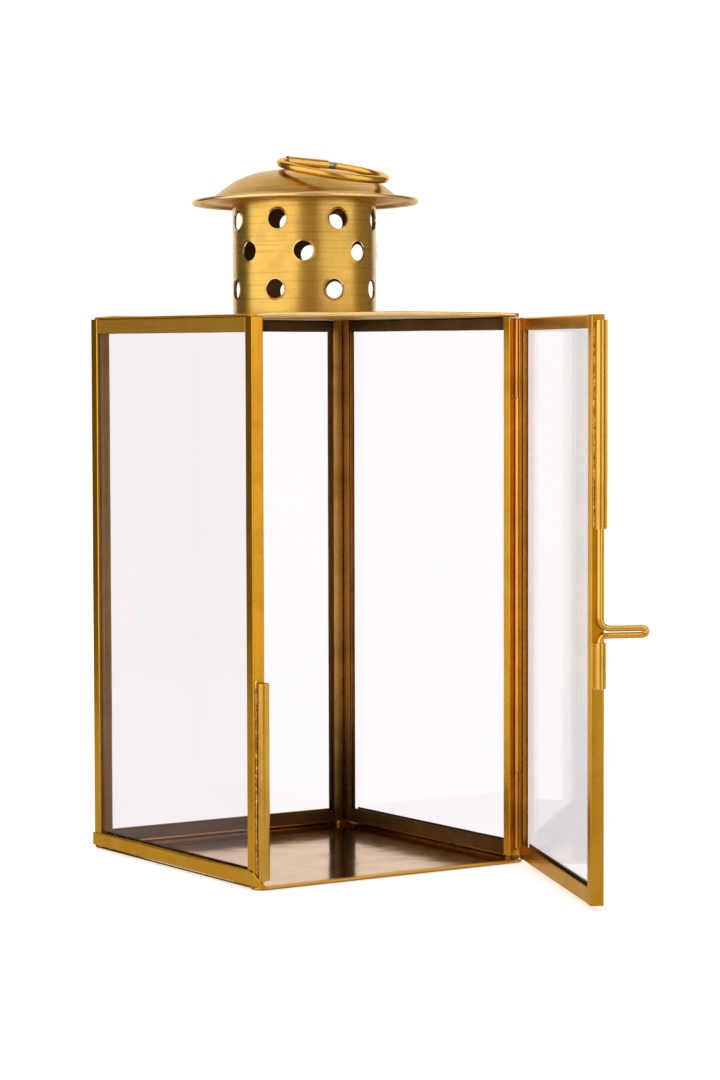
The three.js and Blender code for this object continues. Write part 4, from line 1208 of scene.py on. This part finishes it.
leaf_x = -DOOR_HINGE_GAP + 0.3 + 0.22
curl = [(leaf_x, y) for y in np.linspace(DOOR_OUTER + 0.35, -0.9, 6)] + arc(0, 0, 0.84, 205, 205 + 315, 30)
knuckle = strip_outline(curl, 0.32, 2)
for name, z0, z1, seed in (("door_knuckle_bottom", 4.6, 29.15, 84), ("door_knuckle_top", 151.35, 176.6, 85)):
    b = Build()
    prism(b, knuckle, z0, z1, up, seed, wander=0.02, pitch=0.55, chamfer=0.05, shape=serrate(seed * 0.37, (0, -1), lambda x, y: y < DOOR_OUTER + 0.6))
    put(name, b, [M_ROLL], "door", [name], at=at_door)

WX = DX0 - 1.51
WY = DM - 0.25
# upper sleeve: curls round the wire, its flange stands a little proud of the outer face
fx = DX0 - 0.32
upper = strip_outline([(fx, y) for y in np.linspace(DOOR_OUTER - 0.6, WY - 0.55, 5)] + arc(WX, WY, 1.28, -18, -18 - 320, 34), 0.34, 2)
b = Build()
prism(b, upper, 113.9, 175.5, up, 86, wander=0.02, pitch=0.5, chamfer=0.05, shape=serrate(0.6, (0, -1), lambda x, y: y < DOOR_OUTER - 0.3 and x > WX + 1.0, 1.05, 0.13))
put("door_edge_sleeve_upper", b, [M_ROLL], "door", ["door_edge_sleeve_upper"], at=at_door)
lower = strip_outline(
    [(fx, y) for y in np.linspace(DOOR_OUTER - 0.3, WY - 1.3, 4)] + arc(WX, WY, 1.28, -40, -320, 30) + [(fx, y) for y in np.linspace(WY + 1.3, DOOR_INNER - 0.4, 4)], 0.33, 2
)
b = Build()
prism(b, lower, 66.4, 80.2, up, 87, wander=0.03, pitch=0.6, chamfer=0.08)
put("door_edge_sleeve_lower", b, [M_ROLL], "door", ["door_edge_sleeve_lower"], at=at_door)
b = Build()
for y, z0, z1, sd in ((DOOR_OUTER + 0.25, 114.2, 175.1, 1), (WY + 1.45, 114.0, 175.3, 2), (WY + 1.7, 66.5, 80.0, 3)):
    path = [(DX0 - 0.10, y + 0.08 * wave(z, 100 + sd, 4.0), z) for z in np.linspace(z0, z1, int((z1 - z0) * 2))]
    swept(b, path, 0.26, 10, seed=101 + sd, lump=0.5, taper=0.8)
blob(b, (WX + 0.9, WY + 0.2, 66.35), (0.85, 1.6, 0.5), 104, 0.35)
put("door_edge_solder", b, [M_SOLDER_BRIGHT], "door", smooth=70, at=at_door)

zu, zl, reach = 84.45, 82.35, 14.3
zm, rt, r1, r2 = (zu + zl) / 2, (zu - zl) / 2, 3.0, 1.9
line = [(0, 175.1), (0, 140), (0, zu + r1 + 6)] + arc(r1, zu + r1, r1, 180, 270, 10) + [(reach * 0.6, zu)]
line += arc(reach - rt, zm, rt, 90, -90, 12) + [(reach * 0.6, zl)] + arc(r2, zl - r2, r2, 90, 180, 8) + [(0, zl - r2 - 6), (0, 66.7)]
hp = smooth_path([(WX, WY - o, z) for o, z in line], 0.45, 3)
b = Build()
swept(b, hp, 0.95, 20, seed=6, lump=0.006)
put("door_handle_wire", b, [M_WIRE], "door", ["door_handle_wire"], at=at_door)

# ------------------------------------------------------------------------------------------------ camera, light, floor
cam_data = bpy.data.cameras.new("camera")
cam_data.sensor_fit = "AUTO"
cam_data.sensor_width = 36.0
cam_data.lens = 107.07
cam_data.clip_start = 0.05
cam_data.clip_end = 100.0
cam = bpy.data.objects.new("camera", cam_data)
bpy.context.scene.collection.objects.link(cam)
yaw, pitch, roll = math.radians(33.27), math.radians(-3.34), math.radians(-0.146)
fw = Vector((math.sin(yaw) * math.cos(pitch), math.cos(yaw) * math.cos(pitch), math.sin(pitch)))
rt_ = fw.cross(Vector((0, 0, 1))).normalized()
up_ = rt_.cross(fw)
r2_ = rt_ * math.cos(roll) + up_ * math.sin(roll)
u2_ = up_ * math.cos(roll) - rt_ * math.sin(roll)
cam.matrix_world = Matrix(((r2_.x, u2_.x, -fw.x, -0.5646), (r2_.y, u2_.y, -fw.y, -0.8940), (r2_.z, u2_.z, -fw.z, 0.1661), (0, 0, 0, 1)))
bpy.context.scene.camera = cam

scene = bpy.context.scene
scene.view_settings.view_transform = "Standard"
scene.view_settings.look = "None"
scene.view_settings.exposure = 0.0
scene.cycles.use_denoising = True

world = bpy.data.worlds.new("studio")
scene.world = world
world.use_nodes = True
wt = world.node_tree
wt.nodes.clear()


def w_node(kind, **props):
    n = wt.nodes.new(kind)
    for k, v in props.items():
        setattr(n, k, v)
    return n


def w_math(op, a, b=None, clamp=False):
    n = w_node("ShaderNodeMath", operation=op, use_clamp=clamp)
    for i, v in enumerate((a, b)):
        if v is None:
            continue
        if isinstance(v, bpy.types.NodeSocket):
            wt.links.new(v, n.inputs[i])
        else:
            n.inputs[i].default_value = v
    return n.outputs[0]


def w_step(v, lo, hi):
    n = w_node("ShaderNodeMapRange", interpolation_type="SMOOTHSTEP")
    wt.links.new(v, n.inputs["Value"])
    n.inputs["From Min"].default_value = lo
    n.inputs["From Max"].default_value = hi
    return n.outputs["Result"]


def w_window(v, lo, hi, soft):
    return w_math("MULTIPLY", w_step(v, lo - soft, lo + soft), w_math("SUBTRACT", 1.0, w_step(v, hi - soft, hi + soft)))


def w_dot(vec):
    n = w_node("ShaderNodeVectorMath", operation="DOT_PRODUCT")
    wt.links.new(tc.outputs["Generated"], n.inputs[0])
    n.inputs[1].default_value = vec
    return n.outputs["Value"]


tc = w_node("ShaderNodeTexCoord")
# bearing: 0 behind the camera, positive to the picture's right, 180 on the backdrop
toward, across, rise = w_dot((-0.5342, -0.8453, 0.0)), w_dot((0.8453, -0.5342, 0.0)), w_dot((0.0, 0.0, 1.0))
bearing = w_math("MULTIPLY", w_math("ARCTAN2", across, toward), 57.29578)
level = w_math("MULTIPLY", w_math("ARCSINE", rise), 57.29578)
parts = [
    (LEFT_BOX, w_math("MULTIPLY", w_window(bearing, -98.0, -9.0, 5.0), w_window(level, -60.0, 62.0, 9.0))),
    (RIGHT_BOX, w_math("MULTIPLY", w_window(bearing, 26.0, 86.0, 6.0), w_window(level, -60.0, 62.0, 9.0))),
    (TOP_BOX, w_step(level, 52.0, 78.0)),
    (BACKDROP, w_math("MULTIPLY", w_step(w_math("ABSOLUTE", bearing), 136.0, 150.0), w_math("SUBTRACT", 1.0, w_step(level, 50.0, 70.0)))),
]
warm_parts = [
    (BASE_LIGHT, None),
    (MIDDLE_FILL, w_math("MULTIPLY", w_window(bearing, -9.0, 26.0, 5.0), w_window(level, -60.0, 62.0, 9.0))),
    (RIGHT_FILL, w_math("MULTIPLY", w_window(bearing, 86.0, 128.0, 5.0), w_window(level, -60.0, 62.0, 9.0))),
]


def w_total(terms):
    total = None
    for strength, mask in terms:
        term = w_math("MULTIPLY", mask, strength) if mask is not None else strength
        total = term if total is None else w_math("ADD", total, term)
    return total


# the boxes are neutral, the room between them is warm
cool, warm = w_total(parts), w_total(warm_parts)
mixed = w_node("ShaderNodeCombineColor")
for socket, c, w in zip(mixed.inputs, (1.0, 0.985, 0.97), (1.0, 0.80, 0.46)):
    wt.links.new(w_math("ADD", w_math("MULTIPLY", cool, c), w_math("MULTIPLY", warm, w)), socket)
bg = w_node("ShaderNodeBackground")
wt.links.new(mixed.outputs[0], bg.inputs["Color"])
bg.inputs["Strength"].default_value = 1.0
white = w_node("ShaderNodeBackground")
white.inputs["Color"].default_value = (1.0, 1.0, 1.0, 1.0)
white.inputs["Strength"].default_value = 1.05
ray = w_node("ShaderNodeLightPath")
wmix = w_node("ShaderNodeMixShader")
wt.links.new(w_math("MAXIMUM", ray.outputs["Is Camera Ray"], ray.outputs["Is Transmission Ray"]), wmix.inputs[0])
wt.links.new(bg.outputs[0], wmix.inputs[1])
wt.links.new(white.outputs[0], wmix.inputs[2])
wo = w_node("ShaderNodeOutputWorld")
wt.links.new(wmix.outputs[0], wo.inputs[0])

floor = Build()
floor.add([(-4000, -4000, 0), (4000, -4000, 0), (4000, 4000, 0), (-4000, 4000, 0)], [(0, 1, 2, 3)])
mesh = bpy.data.meshes.new("floor")
mesh.from_pydata([(x * MM, y * MM, z * MM) for x, y, z in floor.v], [], floor.f)
fm = Nodes("pale_floor")
fm.bsdf.inputs["Base Color"].default_value = (FLOOR_SHADE, FLOOR_SHADE, FLOOR_SHADE, 1)
fm.bsdf.inputs["Roughness"].default_value = 1.0
fm.bsdf.inputs["Specular IOR Level"].default_value = 0.0
fm.bsdf.inputs["Emission Color"].default_value = (1.0, 0.99, 0.98, 1)
fm.bsdf.inputs["Emission Strength"].default_value = FLOOR_GLOW
# seen directly or through the glass the floor is a bright sheet; in reflections it is a dimmer disc round the lantern
lit = fm.new("ShaderNodeEmission")
lit.inputs["Color"].default_value = (1.0, 1.0, 1.0, 1)
lit.inputs["Strength"].default_value = 0.55
shade = fm.new("ShaderNodeBsdfDiffuse")
shade.inputs["Color"].default_value = (0.80, 0.80, 0.80, 1)
bright = fm.new("ShaderNodeAddShader")
fm.link(lit.outputs[0], bright.inputs[0])
fm.link(shade.outputs[0], bright.inputs[1])
far = fm.ramp(fm.vmath("LENGTH", fm.obj()), FLOOR_FAR, FLOOR_FAR + 0.35)
away = fm.new("ShaderNodeBsdfTransparent")
disc = fm.new("ShaderNodeMixShader")
fm.link(far, disc.inputs[0])
fm.link(fm.bsdf.outputs[0], disc.inputs[1])
fm.link(away.outputs[0], disc.inputs[2])
rays = fm.new("ShaderNodeLightPath")
seen = fm.math("MAXIMUM", rays.outputs["Is Camera Ray"], rays.outputs["Is Transmission Ray"])
pick = fm.new("ShaderNodeMixShader")
fm.link(seen, pick.inputs[0])
fm.link(disc.outputs[0], pick.inputs[1])
fm.link(bright.outputs[0], pick.inputs[2])
even = fm.new("ShaderNodeEmission")
even.inputs["Color"].default_value = (1.0, 1.0, 1.0, 1)
even.inputs["Strength"].default_value = 1.05
through = fm.new("ShaderNodeMixShader")
fm.link(rays.outputs["Is Transmission Ray"], through.inputs[0])
fm.link(pick.outputs[0], through.inputs[1])
fm.link(even.outputs[0], through.inputs[2])
fm.link(through.outputs[0], fm.out.inputs[0])
mesh.materials.append(fm.mat)
fobj = bpy.data.objects.new("floor", mesh)
fobj.location.z = -0.0002
scene.collection.objects.link(fobj)
